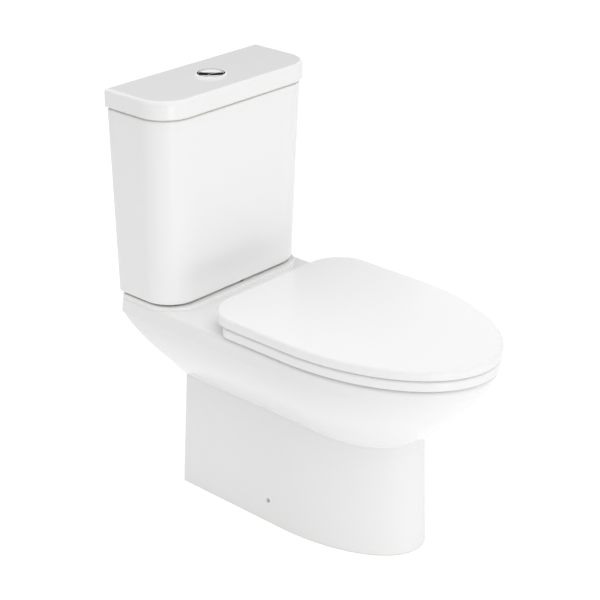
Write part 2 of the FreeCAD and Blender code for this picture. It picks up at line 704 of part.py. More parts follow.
def bowl(wall, front_wall):
    """The bowl from under the rim's lip to the sump, and the sump, both grown by their wall."""
    top, bottom = value("rim_height - rim_depth"), value("sump_height")
    sump = value("trap_bore / 2")
    sump_y = value(out(SUMP))
    wide = value("bowl_mouth_width / 2 + rim_undercut")
    back = value(out("bowl_mouth_back - rim_undercut"))
    front = value(out(f"{MOUTH_FRONT} + rim_undercut"))
    rings = []
    for step in range(6):
        fall = step / 5
        half_width = wide + (sump - wide) * fall ** 0.9 + wall
        ring_back = back + (sump_y + sump - back) * fall + wall
        ring_front = front + (sump_y - sump - front) * fall ** 0.8 - front_wall
        rings.append(oval(half_width, ring_back, ring_front, top + (bottom - top) * fall))
    return [Part.makeLoft(rings, True, False), Part.makeSphere(sump + wall, Vector(0, sump_y, bottom))]


def trapway(diameter, overrun):
    """The trapway as a tube's outside or bore, from the sump over its crown to the outlet spigot."""
    def stop(from_wall, height):
        return Vector(0, value(out(from_wall)), value(height))
    start = stop(SUMP, "sump_height")
    turn = stop(f"{SUMP} - trap_turn", "sump_height")
    crown = stop("trap_crown_from_wall", "trap_crown_height")
    fall = stop("trap_fall_from_wall", "outlet_height")
    end = stop("outlet_from_wall", "outlet_height") + Vector(0, overrun, 0)
    bend = value("trap_bend")
    edges = []
    here = start
    for before, corner, after in ((start, turn, crown), (turn, crown, fall), (crown, fall, end)):
        arriving = (corner - before).normalize()
        leaving = (after - corner).normalize()
        half_turn = arriving.getAngle(leaving) / 2
        reach = bend * math.tan(half_turn)
        middle = corner + (leaving - arriving).normalize() * (bend / math.cos(half_turn) - bend)
        edges.append(line(here, corner - arriving * reach))
        here = corner + leaving * reach
        edges.append(Part.Arc(corner - arriving * reach, middle, here).toShape())
    edges.append(line(here, end))
    profile = Part.Wire(Part.Circle(start, Vector(0, 1, 0), value(diameter) / 2).toShape())
    return Part.Wire(edges).makePipeShell([profile], True, False)


def flush_passage(wall, reach):
    """The upright inlet and the level duct to the rim, as bores or grown by their wall."""
    y = value(out("flush_from_wall"))
    axis = value("rim_height - duct_drop")
    foot = f"rim_height - duct_drop - duct_bore / 2 - {wall}"
    head = f"{RECESS_FLOOR} + {reach}"
    inlet = upright(f"inlet_bore + 2 * {wall}", "0", out("flush_from_wall"), foot, head)
    length = value("bowl_mouth_back - rim_undercut - flush_from_wall + 2 * china_wall")
    duct = Part.makeCylinder(value("duct_bore / 2") + wall, length, Vector(0, y, axis), Vector(0, -1, 0))
    return [inlet, duct]


def pan_bores():
    """The holes that other pieces pass through, from their own sizes and plays."""
    low, high = f"{DECK_UNDER} - {OVERSHOOT}", f"{DECK_TOP} + {OVERSHOOT}"
    flush_y = out("flush_from_wall")
    bores = [upright("inlet_recess", "0", flush_y, RECESS_FLOOR, high)]
    bores.append(upright("fill_passage", "-fill_side", out("fill_from_wall"), low, high))
    fixing_y = out("hinge_from_wall + fixing_from_hinge")
    screw_y = out(SIDE_SCREWS)
    head_foot = f"{PEDESTAL_FACE} - screw_recess - screw_head_height"
    for side in ("-", ""):
        bores.append(upright("bolt_diameter + 2 * bolt_play", f"{side}bolt_spacing / 2", flush_y, low, high))
        bores.append(upright("fixing_hole", f"{side}hinge_spacing / 2", fixing_y, low, high))
    screw_hole = "screw_diameter + 2 * screw_play"
    bores.append(across(screw_hole, "-pedestal_width", "pedestal_width", screw_y, "screw_height"))
    bores.append(across("screw_hole", head_foot, "pedestal_width", screw_y, "screw_height"))
    bores.append(across("screw_hole", "-pedestal_width", f"-({head_foot})", screw_y, "screw_height"))
    return bores


def mouth_edge(edge):
    """The rim opening's upper edge: the one long edge at rim height about the bowl."""
    return at_level("rim_height")(edge) and edge.Closed and edge.Length > value("bowl_mouth_width")


def pan_hollow():
    """The room inside the shell, open at the foot and the back."""
    wall = value("china_wall")
    through = value(out("deck_setback")) + 4 * OVERSHOOT
    room_sections = [hull_section(z, wall, through) for z in hull_levels(value(DECK_UNDER))]
    levels = (-OVERSHOOT, value(PEDESTAL_TOP) - wall)
    pedestal_room = Part.makeLoft([pedestal_section(z, wall, 4 * OVERSHOOT) for z in levels], True, True)
    return Part.makeLoft(room_sections, True, False).fuse(pedestal_room)


def waterway_rooms():
    """The rim's mouth, the bowl, the sump, the trapway and the flush passage, as spaces."""
    mouth_foot = value("rim_height - rim_depth") - 1
    mouth_back, mouth_front = value(out("bowl_mouth_back")), value(out(MOUTH_FRONT))
    mouth = oval(value("bowl_mouth_width / 2"), mouth_back, mouth_front, mouth_foot)
    rooms = bowl(0, 0) + flush_passage(0, OVERSHOOT)
    rooms.append(trapway("trap_bore", OVERSHOOT))
    rooms.append(slab(mouth, value("rim_depth") + 1 + OVERSHOOT))
    return rooms


def casting(label, outside, spaces):
    """One stretch of the pan's casting: its outside less the spaces and the stretches beside it."""
    solids = outside.cut(spaces).removeSplitter().Solids
    if len(solids) != 1:
        raise RuntimeError(f"{label} came out as {len(solids)} solids")
    return solids[0]


def pan():
    """One china casting, as five stretches that meet: shell, bowl, trapway, outlet and flush duct."""
    wall = value("china_wall")
    hollow, rooms, bores = pan_hollow(), waterway_rooms(), pan_bores()
    shell = casting("pan", pan_outside(), [hollow] + rooms + bores)
    bowl_body = bowl(wall, value("bowl_front_wall"))
    bowl_wall = casting("pan_bowl", bowl_body[0].fuse(bowl_body[1]).common(hollow), rooms)
    trap_tube = trapway("outlet_diameter", 0)
    behind_low = ("-outlet_diameter", out("outlet_from_wall + outlet_length"), "0")
    behind = block(behind_low, ("outlet_diameter", out("0"), PEDESTAL_TOP))
    trap_wall = casting("pan_trapway", trap_tube, bowl_body + rooms + [shell, behind])
    outlet_wall = casting("pan_outlet", trap_tube.common(behind), rooms)
    boss_foot, boss_top = f"{RECESS_FLOOR} - china_wall", f"{DECK_TOP} - china_wall"
    boss = upright("inlet_recess + 2 * china_wall", "0", out("flush_from_wall"), boss_foot, boss_top)
    duct_wall = casting("pan_flush_duct", boss.multiFuse(flush_passage(wall, 0)),
                        bowl_body + rooms + bores + [shell, trap_tube])
    shell = rounded_edges(shell, value("bowl_mouth_edge"), mouth_edge)
    stretches = [shaped("pan", shell), shaped("pan_bowl", bowl_wall), shaped("pan_trapway", trap_wall)]
    return stretches + [shaped("pan_outlet", outlet_wall), shaped("pan_flush_duct", duct_wall)]


# Cistern
def tank_outline(body, width, depth, level, inset="0", back_round="tank_back_corner"):
    """The tank's plan at a level, drawn in by an inset."""
    sketch = new_sketch(body, "XY_Plane", level)
    back, front = out(f"tank_setback + {inset}"), out(f"tank_setback + {depth} - ({inset})")
    rounded_rectangle(sketch, f"{width} / 2 - ({inset})", back, front, back_round, f"tank_corner - ({inset})")
    return sketch


def loft(body, kind, lower, upper):
    """A loft from the upper sketch down to the lower one, the way round that keeps its faces outward."""
    feature = body.newObject(kind, f"{body.Name}_loft")
    feature.Profile = upper
    feature.Sections = [lower]
    doc.recompute()
    return feature


def cistern_tank():
    body = new_body("cistern_tank")
    foot = tank_outline(body, "tank_foot_width", "tank_foot_depth", TANK_FOOT)
    shoulder = f"{TANK_TOP} - tank_step"
    top = tank_outline(body, "tank_top_width", "tank_top_depth", shoulder)
    solid = loft(body, "PartDesign::AdditiveLoft", foot, top)
    solid = fillet(body, solid, "tank_foot_edge", at_level(TANK_FOOT))
    fillet(body, solid, "tank_rim_edge", at_level(shoulder))
    neck = tank_outline(body, "tank_top_width", "tank_top_depth", shoulder, "tank_step")
    pad(body, neck, "tank_step")
    inside = ("tank_wall", "tank_inner_corner")
    floor = tank_outline(body, "tank_foot_width", "tank_foot_depth", TANK_FLOOR, *inside)
    brim = tank_outline(body, "tank_top_width", "tank_top_depth", TANK_TOP, *inside)
    loft(body, "PartDesign::SubtractiveLoft", floor, brim)
    holes = new_sketch(body, "XY_Plane", TANK_FLOOR)
    circle(holes, "0", out("flush_from_wall"), "valve_tail + 2 * valve_play")
    circle(holes, "-fill_side", out("fill_from_wall"), "fill_thread + 2 * fill_play")
    for side in ("-", ""):
        circle(holes, f"{side}bolt_spacing / 2", out("flush_from_wall"), "bolt_diameter + 2 * bolt_play")
    pocket(body, holes, "2 * tank_floor")
    return body


def cistern_lid():
    body = new_body("cistern_lid")
    cap = new_sketch(body, "XY_Plane", TANK_TOP)
    rounded_rectangle(cap, "lid_width / 2", out("0"), out("lid_depth"), "tank_back_corner", "lid_corner")
    solid = pad(body, cap, "lid_height")
    solid = fillet(body, solid, "lid_edge", at_level(LID_TOP))
    fillet(body, solid, "tank_rim_edge", at_level(TANK_TOP))
    plan = ("tank_top_width", "tank_top_depth", f"{TANK_TOP} - lid_lip")
    lip = tank_outline(body, *plan, "tank_wall + lid_play", "tank_inner_corner")
    pad(body, lip, "lid_lip")
    room = tank_outline(body, *plan, "tank_wall + lid_play + lid_lip", "tank_inner_corner")
    pocket(body, room, "lid_lip + lid_height - lid_plate", reverse=True)
    hole = new_sketch(body, "XY_Plane", LID_TOP)
    circle(hole, "button_side", out("flush_from_wall"), "lid_hole")
    pocket(body, hole, "2 * lid_plate")
    return body


# Seat, cover and hinges
def buffer_places():
    """The four (x, y) places of a set of buffers."""
    depths = ("buffer_back", "overall_depth - buffer_setback")
    return [(f"{side}buffer_side", out(depth)) for side in ("-", "") for depth in depths]


def buffers(label, seat_level, thickness):
    """Four buffers, each a pad with a stem up into its boss."""
    profile = (("0", f"{seat_level} - {thickness}"), ("buffer_diameter / 2", f"{seat_level} - {thickness}"),
               ("buffer_diameter / 2", seat_level), ("buffer_stem / 2", seat_level),
               ("buffer_stem / 2", f"{seat_level} + buffer_stem"), ("0", f"{seat_level} + buffer_stem"))
    return group(label, [turned(f"{label}_{i}", profile, x, y) for i, (x, y) in enumerate(buffer_places())])


def with_buffer_bosses(solid, low, high):
    """Add a boss with a blind stem hole at each buffer's place."""
    for x, y in buffer_places():
        solid = solid.fuse(upright("buffer_stem + 2 * buffer_boss", x, y, low, high))
        solid = solid.cut(upright("buffer_stem", x, y, low, f"{low} + buffer_stem"))
    return solid


def knuckles(inner, outer, arm_low, arm_high, bores):
    """A barrel on each side with the arm that joins it to its panel, bored for pin or damper."""
    y = out("hinge_from_wall")
    solids, holes = [], []
    for side, bore in zip((-1, 1), bores):
        low, high = sorted((f"{side} * ({inner})", f"{side} * ({outer})"), key=value)
        barrel = across("knuckle_diameter", low, high, y, HINGE_AXIS)
        arm = block((low,) + arm_low, (high,) + arm_high)
        solids.append(barrel.fuse(arm))
        holes.append(across(f"{bore} + 2 * running_fit", f"{low} - 1", f"{high} + 1", y, HINGE_AXIS))
    return solids, holes


SEAT_KNUCKLE = "(hinge_spacing / 2 + post_width / 2 + knuckle_gap)"
COVER_KNUCKLE = "(hinge_spacing / 2 - post_width / 2 - knuckle_gap)"


def seat_ring():
    bow, front = value(out(BOW_START)), value(out("overall_depth - seat_setback"))
    back, foot = value(out("seat_from_wall")), value(SEAT_FOOT)
    half_width, corner = value("seat_width / 2"), value("seat_corner")
    mouth_half, thickness = value("seat_mouth_width / 2"), value("seat_thickness")
    mouth_back = value(out("seat_mouth_back"))
    mouth_front = value(out("overall_depth - seat_mouth_setback"))
    mouth = slab(oval(mouth_half, mouth_back, mouth_front, foot), thickness)
    ring_solid = slab(egg(half_width, back, bow, front, corner, foot), thickness).cut(mouth)
    ring_solid = rounded_edges(ring_solid, value("seat_edge"), at_level(SEAT_TOP))
    wall = value("seat_shell")
    depth = thickness - wall
    inner = slab(egg(half_width - wall, back - wall, bow, front + wall, corner - wall, foot), depth)
    lip = slab(oval(mouth_half + wall, mouth_back + wall, mouth_front - wall, foot), depth)
    ring_solid = ring_solid.cut(inner.cut(lip))
    ring_solid = with_buffer_bosses(ring_solid, SEAT_FOOT, f"{SEAT_TOP} - seat_shell")
    arm_low = (out("seat_from_wall + seat_shell"), f"{HINGE_AXIS} - knuckle_diameter / 2")
    arm_high = (out("hinge_from_wall"), f"{SEAT_TOP} - knuckle_gap")
    outer = f"{SEAT_KNUCKLE} + knuckle_length"
    solids, holes = knuckles(SEAT_KNUCKLE, outer, arm_low, arm_high, ("damper_diameter", "pin_diameter"))
    return shaped("seat_ring", ring_solid.multiFuse(solids).cut(holes).removeSplitter())


def seat_cover():
    bow, front = value(out(BOW_START)), value(out("overall_depth"))
    back, foot = value(out("cover_from_wall")), value(COVER_FOOT)
    half_width, corner = value("cover_width / 2"), value("cover_corner")
    shell = slab(egg(half_width, back, bow, front, corner, foot), value("cover_thickness"))
    shell = rounded_edges(shell, value("cover_edge"), at_level(COVER_TOP))
    wall = value("cover_shell")
    depth = value("cover_thickness") - wall
    inside = egg(half_width - wall, back - wall, bow, front + wall, corner - wall, foot)
    shell = shell.cut(slab(inside, depth))
    shell = with_buffer_bosses(shell, COVER_FOOT, f"{COVER_TOP} - cover_shell")
    arm_low = (out("hinge_from_wall + knuckle_diameter / 2 + 2 * knuckle_gap"), HINGE_AXIS)
    arm_high = (out("hinge_from_wall - knuckle_diameter / 2 + knuckle_gap"), f"{COVER_TOP} - cover_shell / 2")
    inner = f"{COVER_KNUCKLE} - knuckle_length"
    solids, holes = knuckles(inner, COVER_KNUCKLE, arm_low, arm_high, ("pin_diameter", "damper_diameter"))
    return shaped("seat_cover", shell.multiFuse(solids).cut(holes).removeSplitter())


def hinge_post():
    y, inner = out("hinge_from_wall"), "hinge_spacing / 2 - post_width / 2"
    barrel = rod("post_barrel", "knuckle_diameter", (inner, y, HINGE_AXIS), "post_width", "x")
    stem_low = (inner, out("hinge_from_wall + post_front"), "rim_height")
    back = out("hinge_from_wall - post_back")
    front = out("hinge_from_wall + post_front + post_back")
    stem = box("post_stem", stem_low, (f"{inner} + post_width", back, HINGE_AXIS))
    plate_low = ("hinge_spacing / 2 - post_plate_width / 2", front, "rim_height")
    plate_high = ("hinge_spacing / 2 + post_plate_width / 2", back, "rim_height + post_plate")
    plate = box("post_plate_block", plate_low, plate_high)
    pin_hole = rod("post_pin_hole", "pin_diameter", (f"{inner} - 1", y, HINGE_AXIS), "post_width + 2", "x")
    bolt_y = out("hinge_from_wall + fixing_from_hinge")
    bolt_foot = ("hinge_spacing / 2", bolt_y, "rim_height - 1")
    bolt_hole = rod("post_bolt_hole", "fixing_bolt", bolt_foot, "fixing_grip + 1")
    return cut("hinge_post", fused("post_blank", [barrel, stem, plate]), [pin_hole, bolt_hole])


def hinge_pins_and_dampers():
    """On each side one plain pin and one damper, gripped by the post from its two faces."""
    y = out("hinge_from_wall")
    length = "(knuckle_length + knuckle_gap - pin_short)"
    right_outer, right_inner = "(hinge_spacing / 2 + post_width / 2)", "(hinge_spacing / 2 - post_width / 2)"
    pin_length = f"pin_grip + {length}"
    seat_pin_start = (f"{right_outer} - pin_grip", y, HINGE_AXIS)
    seat_pin = rod("seat_pin", "pin_diameter", seat_pin_start, pin_length, "x")
    cover_pin_start = (f"-{right_inner} - pin_grip", y, HINGE_AXIS)
    cover_pin = rod("cover_pin", "pin_diameter", cover_pin_start, pin_length, "x")
    pins = group("hinge_pins", [seat_pin, cover_pin])
    body_start = f"{right_inner} - knuckle_gap"
    stub_length = "knuckle_gap + pin_grip"
    cover_barrel_start = (f"{body_start} - {length}", y, HINGE_AXIS)
    cover_damper = rod("cover_damper", "damper_diameter", cover_barrel_start, length, "x")
    cover_stub_start = (body_start, y, HINGE_AXIS)
    cover_stub = rod("cover_damper_stub", "pin_diameter", cover_stub_start, stub_length, "x")
    seat_start = f"-{right_outer} - knuckle_gap"
    seat_barrel_start = (f"{seat_start} - {length}", y, HINGE_AXIS)
    seat_damper = rod("seat_damper", "damper_diameter", seat_barrel_start, length, "x")
    seat_stub_start = (seat_start, y, HINGE_AXIS)
    seat_stub = rod("seat_damper_stub", "pin_diameter", seat_stub_start, stub_length, "x")
    seat_side = fused("seat_damper_whole", [seat_damper, seat_stub])
    cover_side = fused("cover_damper_whole", [cover_damper, cover_stub])
    return [pins, group("hinge_dampers", [seat_side, cover_side])]


def hinge_fixings():
    """Bolt, rubber cone and wing nut under the deck, on both sides."""
    x, y = "hinge_spacing / 2", out("hinge_from_wall + fixing_from_hinge")
    nut_top = f"({DECK_UNDER} - fixing_cone_height)"
    end = f"({nut_top} - wing_height - fixing_tail)"
    bolt = rod("hinge_bolt", "fixing_bolt", (x, y, end), f"rim_height + fixing_grip - {end}")
    cone_profile = (("fixing_bolt / 2", nut_top), ("fixing_cone / 2 - fixing_cone_height / 2", nut_top),
                    ("fixing_cone / 2", DECK_UNDER), ("fixing_bolt / 2", DECK_UNDER))
    cone = turned("hinge_cone", cone_profile, x, y)
    nut = wing_nut("hinge_wing_nut", x, y, nut_top, "fixing_bolt")
    named = (("hinge_posts", hinge_post()), ("hinge_bolts", bolt),
             ("hinge_cones", cone), ("hinge_wing_nuts", nut))
    return [pair(label, item) for label, item in named]


# Flush button in the lid
def button_set():
    x, y = "button_side", out("flush_from_wall")
    bore, sleeve, flange = "sleeve_bore / 2", "sleeve_diameter / 2", "bezel_diameter / 2"
    bezel_top = f"{LID_TOP} + bezel_height"
    bezel_profile = ((bore, SLEEVE_FOOT), (sleeve, SLEEVE_FOOT), (sleeve, LID_TOP), (flange, LID_TOP),
                     (flange, f"{LID_TOP} + bezel_height / 4"),
                     (f"{flange} - bezel_height", bezel_top), (bore, bezel_top))
    bezel = turned("button_bezel", bezel_profile, x, y)
    split_y = out("flush_from_wall + button_offset")
    disc = "sleeve_bore - 2 * button_play"
    full_disc = rod("button_full_disc", disc, (x, y, BUTTON_FOOT), "button_height")
    half_disc = rod("button_half_disc", disc, (x, y, BUTTON_FOOT), "button_height")
    parting_foot = (x, split_y, f"{BUTTON_FOOT} - 1")
    parting = rod("button_parting", "button_split + 2 * button_play", parting_foot, "button_height + 2")
    lens = rod("button_lens", "button_split", (x, split_y, f"{BUTTON_FOOT} - 1"), "button_height + 2")
    full = cut("button_full", full_disc, [parting])
    half = doc.addObject("Part::Common", "button_half")
    half.Base, half.Tool = half_disc, lens
    half.Label = "button_half"
    nut_foot = f"{LID_UNDER} - button_nut_height"
    nut = ring("button_nut", "button_nut_diameter", "sleeve_diameter", nut_foot, LID_UNDER, x, y)
    floor = f"({SLEEVE_FOOT} - housing_floor)"
    cup_profile = (("0", floor), (sleeve, floor), (sleeve, SLEEVE_FOOT), (bore, SLEEVE_FOOT),
                   (bore, f"{SLEEVE_FOOT} + housing_floor"),
                   (f"{bore} - housing_floor / 2", f"{SLEEVE_FOOT} + housing_floor"),
                   (f"{bore} - housing_floor / 2", SLEEVE_FOOT), ("0", SLEEVE_FOOT))
    cup = turned("button_cup", cup_profile, x, y)
    guides = []
    for name, rod_x, rod_y in ROD_PLACES:
        guide_foot = (rod_x, rod_y, f"{floor} - 1")
        guides.append(rod(f"guide_{name}", "rod_diameter + 2 * rod_play", guide_foot, "3 * housing_floor"))
    return [bezel, full, half, nut, cut("button_housing", cup, guides)]


ROD_PLACES = (
    ("full", "button_side + full_rod_side", out("flush_from_wall - full_rod_back")),
    ("half", "-half_rod_side + button_side", out("flush_from_wall + half_rod_front")),
)


def push_rod(name, x, y):
    """A rod from its button, sideways under the lid, and down on to the outer end of its rocker."""
    side = "-" if x.startswith("-") else ""
    end_x = f"{side}(pivot_side + rocker_outer)"
    jog = f"{LID_TOP} - rod_jog_height"
    foot = f"{PIVOT} + rocker_height / 2 + rod_gap"
    end_y = out("flush_from_wall")
    stops = ((x, y, BUTTON_FOOT), (x, y, jog), (end_x, end_y, jog), (end_x, end_y, foot))
    points = [Vector(*[value(formula) for formula in stop]) for stop in stops]
    radius = value("rod_diameter / 2")
    runs = [Part.makeCylinder(radius, (b - a).Length, a, b - a) for a, b in zip(points, points[1:])]
    elbows = [Part.makeSphere(radius, point) for point in points[1:-1]]
    return shaped(f"push_rod_{name}", runs[0].multiFuse(runs[1:] + elbows).removeSplitter())


def button_spring(name, x, y):
    """A helical return spring round its rod, between the housing's floor and the button."""
    wire, turns = value("spring_wire"), value("spring_turns")
    radius = value("spring_diameter / 2")
    height = value(f"{BUTTON_FOOT} - {SLEEVE_FOOT}") - wire
    helix = Part.makeHelix(height / turns, height, radius)
    section = Part.Wire(Part.Circle(Vector(radius, 0, 0), Vector(0, 1, 0), wire / 2).toShape())
    coil = Part.Wire(helix.Edges).makePipeShell([section], True, True)
    coil.translate(Vector(value(x), value(y), value(SLEEVE_FOOT) + wire / 2))
    return shaped(f"button_spring_{name}", coil)


# Flush valve
def flush_valve():
    y = out("flush_from_wall")
    bore, cage = "valve_bore / 2", "cage_diameter / 2"
    cage_in = f"{cage} - cage_wall"
    tail_end = f"{TANK_FOOT} - valve_tail_length"
    base_profile = ((bore, tail_end), ("valve_tail / 2", tail_end), ("valve_tail / 2", VALVE_FLANGE),
                    ("valve_flange / 2", VALVE_FLANGE), ("valve_flange / 2", CAGE_FOOT), (cage, CAGE_FOOT),
                    (cage, TOWER_FOOT), (cage_in, TOWER_FOOT), (cage_in, CAGE_FOOT),
                    (f"{bore} + cage_wall", CAGE_FOOT), (f"{bore} + cage_wall / 2", VALVE_SEAT),
                    (bore, VALVE_SEAT))
    blank = turned("valve_base_blank", base_profile, "0", y)
    low, high = f"{VALVE_SEAT} + seal_thickness", f"{TOWER_FOOT} - 2 * cage_wall"
    half, reach = "cage_window / 2", "cage_diameter"
    wide = box("window_across", (f"-{reach}", f"{y} - {half}", low), (reach, f"{y} + {half}", high))
    deep = box("window_along", (f"-{half}", f"{y} - {reach}", low), (half, f"{y} + {reach}", high))
    base = cut("flush_valve_base", blank, [wide, deep])
    tower_in, tube = "tower_diameter / 2 - cage_wall", "overflow_diameter / 2"
    step, roof = f"{TOWER_FOOT} + cage_wall", f"{TOWER_TOP} - cage_wall"
    tower_profile = ((tower_in, TOWER_FOOT), (cage, TOWER_FOOT), (cage, step), ("tower_diameter / 2", step),
                     ("tower_diameter / 2", TOWER_TOP), (f"{tube} + tube_play", TOWER_TOP),
                     (f"{tube} + tube_play", roof), (tower_in, roof))
    tower = turned("flush_valve_tower", tower_profile, "0", y)
    tube_in, bell = f"{tube} - overflow_wall", f"{VALVE_SEAT} + seal_thickness"
    collar_top, tube_top = f"{COLLAR_FOOT} + collar_height", f"{TOWER_TOP} + overflow_rise"
    bell_top, rim, collar = f"{bell} + bell_height", "seal_diameter / 2", "collar_diameter / 2"
    tube_profile = ((tube_in, bell), (rim, bell), (rim, bell_top), (tube, bell_top), (tube, COLLAR_FOOT),
                    (collar, COLLAR_FOOT), (collar, collar_top), (tube, collar_top), (tube, tube_top),
                    (tube_in, tube_top))
    lug_low = (f"{tube} - overflow_wall / 2", f"{y} - rocker_width / 2", LUG_FOOT)
    lug = box("lifting_lug", lug_low, (collar, f"{y} + rocker_width / 2", collar_top))
    overflow = fused("overflow_tube", [turned("overflow_pipe", tube_profile, "0", y), lug])
    seal_bore = "(overflow_diameter - 2 * overflow_wall)"
    seal = ring("flush_seal", "seal_diameter", seal_bore, VALVE_SEAT, bell, "0", y)
    washer_bore = "(valve_tail + 2 * valve_play)"
    washer = ring("flush_valve_washer", "valve_flange", washer_bore, TANK_FLOOR, VALVE_FLANGE, "0", y)
    nut_foot = f"{TANK_FOOT} - valve_nut_height"
    nut = ring("flush_valve_nut", "valve_nut_diameter", "valve_tail", nut_foot, TANK_FOOT, "0", y)
    gasket_bore = "(valve_tail + 2 * gasket_play)"
    gasket = ring("coupling_gasket", "gasket_diameter", gasket_bore, RECESS_FLOOR, nut_foot, "0", y)
    return [base, tower, overflow, seal, washer, nut, gasket]


def rockers():
    """The valve head with its cheeks, the two rockers that lift the tube, and their pins."""
    y, half = out("flush_from_wall"), "(rocker_width / 2 + rocker_play)"
    reach = "(pivot_side + cheek_width / 2)"
    plate_low = (f"-{reach}", f"{y} - head_width / 2", TOWER_TOP)
    plate_high = (reach, f"{y} + head_width / 2", f"{TOWER_TOP} + head_plate")
    solids = [box("head_plate_block", plate_low, plate_high)]
    hole_foot = ("0", y, f"{TOWER_TOP} - 1")
    cutters = [rod("head_hole", "overflow_diameter + 2 * tube_play", hole_foot, "head_plate + 2")]
    grip = f"({half} + cheek_thickness)"
    for side, name in (("-", "half"), ("", "full")):
        x = f"{side}pivot_side"
        for start, end, face in ((f"-{grip}", f"-{half}", "front"), (half, grip, "back")):
            low = (f"{x} - cheek_width / 2", f"{y} + {start}", TOWER_TOP)
            high = (f"{x} + cheek_width / 2", f"{y} + {end}", f"{PIVOT} + cheek_width / 2")
            solids.append(box(f"cheek_{name}_{face}", low, high))
        hole_start = (x, f"{y} - {grip} - 1", PIVOT)
        cutters.append(rod(f"cheek_hole_{name}", "rocker_pin", hole_start, f"2 * {grip} + 2", "y"))
    head = cut("flush_valve_head", fused("head_blank", solids), cutters)
    body = new_body("rocker_full")
    sketch = new_sketch(body, "XZ_Plane")
    inner, outer = "pivot_side - rocker_inner", "pivot_side + rocker_outer + rod_diameter / 2"
    low, high = f"{PIVOT} - rocker_height / 2", f"{PIVOT} + rocker_height / 2"
    polygon(sketch, ((inner, low), (outer, low), (outer, high), (inner, high)))
    circle(sketch, "pivot_side", PIVOT, "rocker_pin + 2 * running_fit")
    pad(body, sketch, "rocker_width", midplane=True)
    place(body, "0", y)
    twin = mirrored(body)
    twin.Label = "rocker_half"
    pin = rod("rocker_pin_right", "rocker_pin", ("pivot_side", f"{y} - {grip}", PIVOT), f"2 * {grip}", "y")
    return [head, body, twin, pair("rocker_pins", pin)]


# Fill valve
def fill_valve():
    x, y = "-fill_side", out("fill_from_wall")
    bore, thread, riser = "fill_bore / 2", "fill_thread / 2", "fill_riser / 2"
    tail_end, flange_top = f"{TANK_FOOT} - fill_tail_length", f"{FILL_FLANGE} + fill_flange_height"
    nut_foot, relief = f"{TANK_FOOT} - fill_nut_height", f"{thread} - fill_relief"
    body_profile = ((bore, tail_end), (thread, tail_end), (thread, f"{nut_foot} - fill_relief"),
                    (relief, f"{nut_foot} - fill_relief"), (relief, nut_foot), (thread, nut_foot),
                    (thread, FILL_FLANGE), ("fill_flange / 2", FILL_FLANGE), ("fill_flange / 2", flange_top),
                    (riser, flange_top), (riser, RISER_TOP), (bore, RISER_TOP))
    riser_body = turned("fill_valve_body", body_profile, x, y)
    washer_bore = "(fill_thread + 2 * fill_play)"
    washer = ring("fill_valve_washer", "fill_flange", washer_bore, TANK_FLOOR, FILL_FLANGE, x, y)
    nut = new_body("fill_valve_nut")
    sketch = new_sketch(nut, "XY_Plane", TANK_FOOT)
    corner = "fill_nut / 2 / cos(30)"
    polygon(sketch, [(f"{corner} * cos({60 * i})", f"{corner} * sin({60 * i})") for i in range(6)])
    circle(sketch, "0", "0", "fill_thread")
    pad(nut, sketch, "fill_nut_height", reverse=True)
    place(nut, x, y)
    cap_foot = f"{RISER_TOP} - fill_cap_socket"
    cap_profile = ((riser, cap_foot), ("fill_cap / 2", cap_foot), ("fill_cap / 2", CAP_TOP), ("0", CAP_TOP),
                   ("0", RISER_TOP), (riser, RISER_TOP))
    pivot_x, half = f"({x} + lever_pivot)", "(lever_width / 2 + rocker_play)"
    grip = f"({half} + cheek_thickness)"
    solids = [turned("fill_cap_blank", cap_profile, x, y)]
    for start, end, face in ((f"-{grip}", f"-{half}", "front"), (half, grip, "back")):
        low = (f"{pivot_x} - cheek_width / 2", f"{y} + {start}", f"{CAP_TOP} - cheek_thickness")
        high = (f"{pivot_x} + cheek_width / 2", f"{y} + {end}", f"{LEVER_PIVOT} + cheek_width / 2")
        solids.append(box(f"lever_cheek_{face}", low, high))
    pin_start = (pivot_x, f"{y} - {grip}", LEVER_PIVOT)
    pin_hole = rod("lever_pin_hole", "lever_pin", pin_start, f"2 * {grip}", "y")
    cap = cut("fill_valve_cap", fused("fill_cap_whole", solids), [pin_hole])
    pin = rod("fill_lever_pin", "lever_pin", pin_start, f"2 * {grip}", "y")
    return [riser_body, washer, nut, cap, pin]


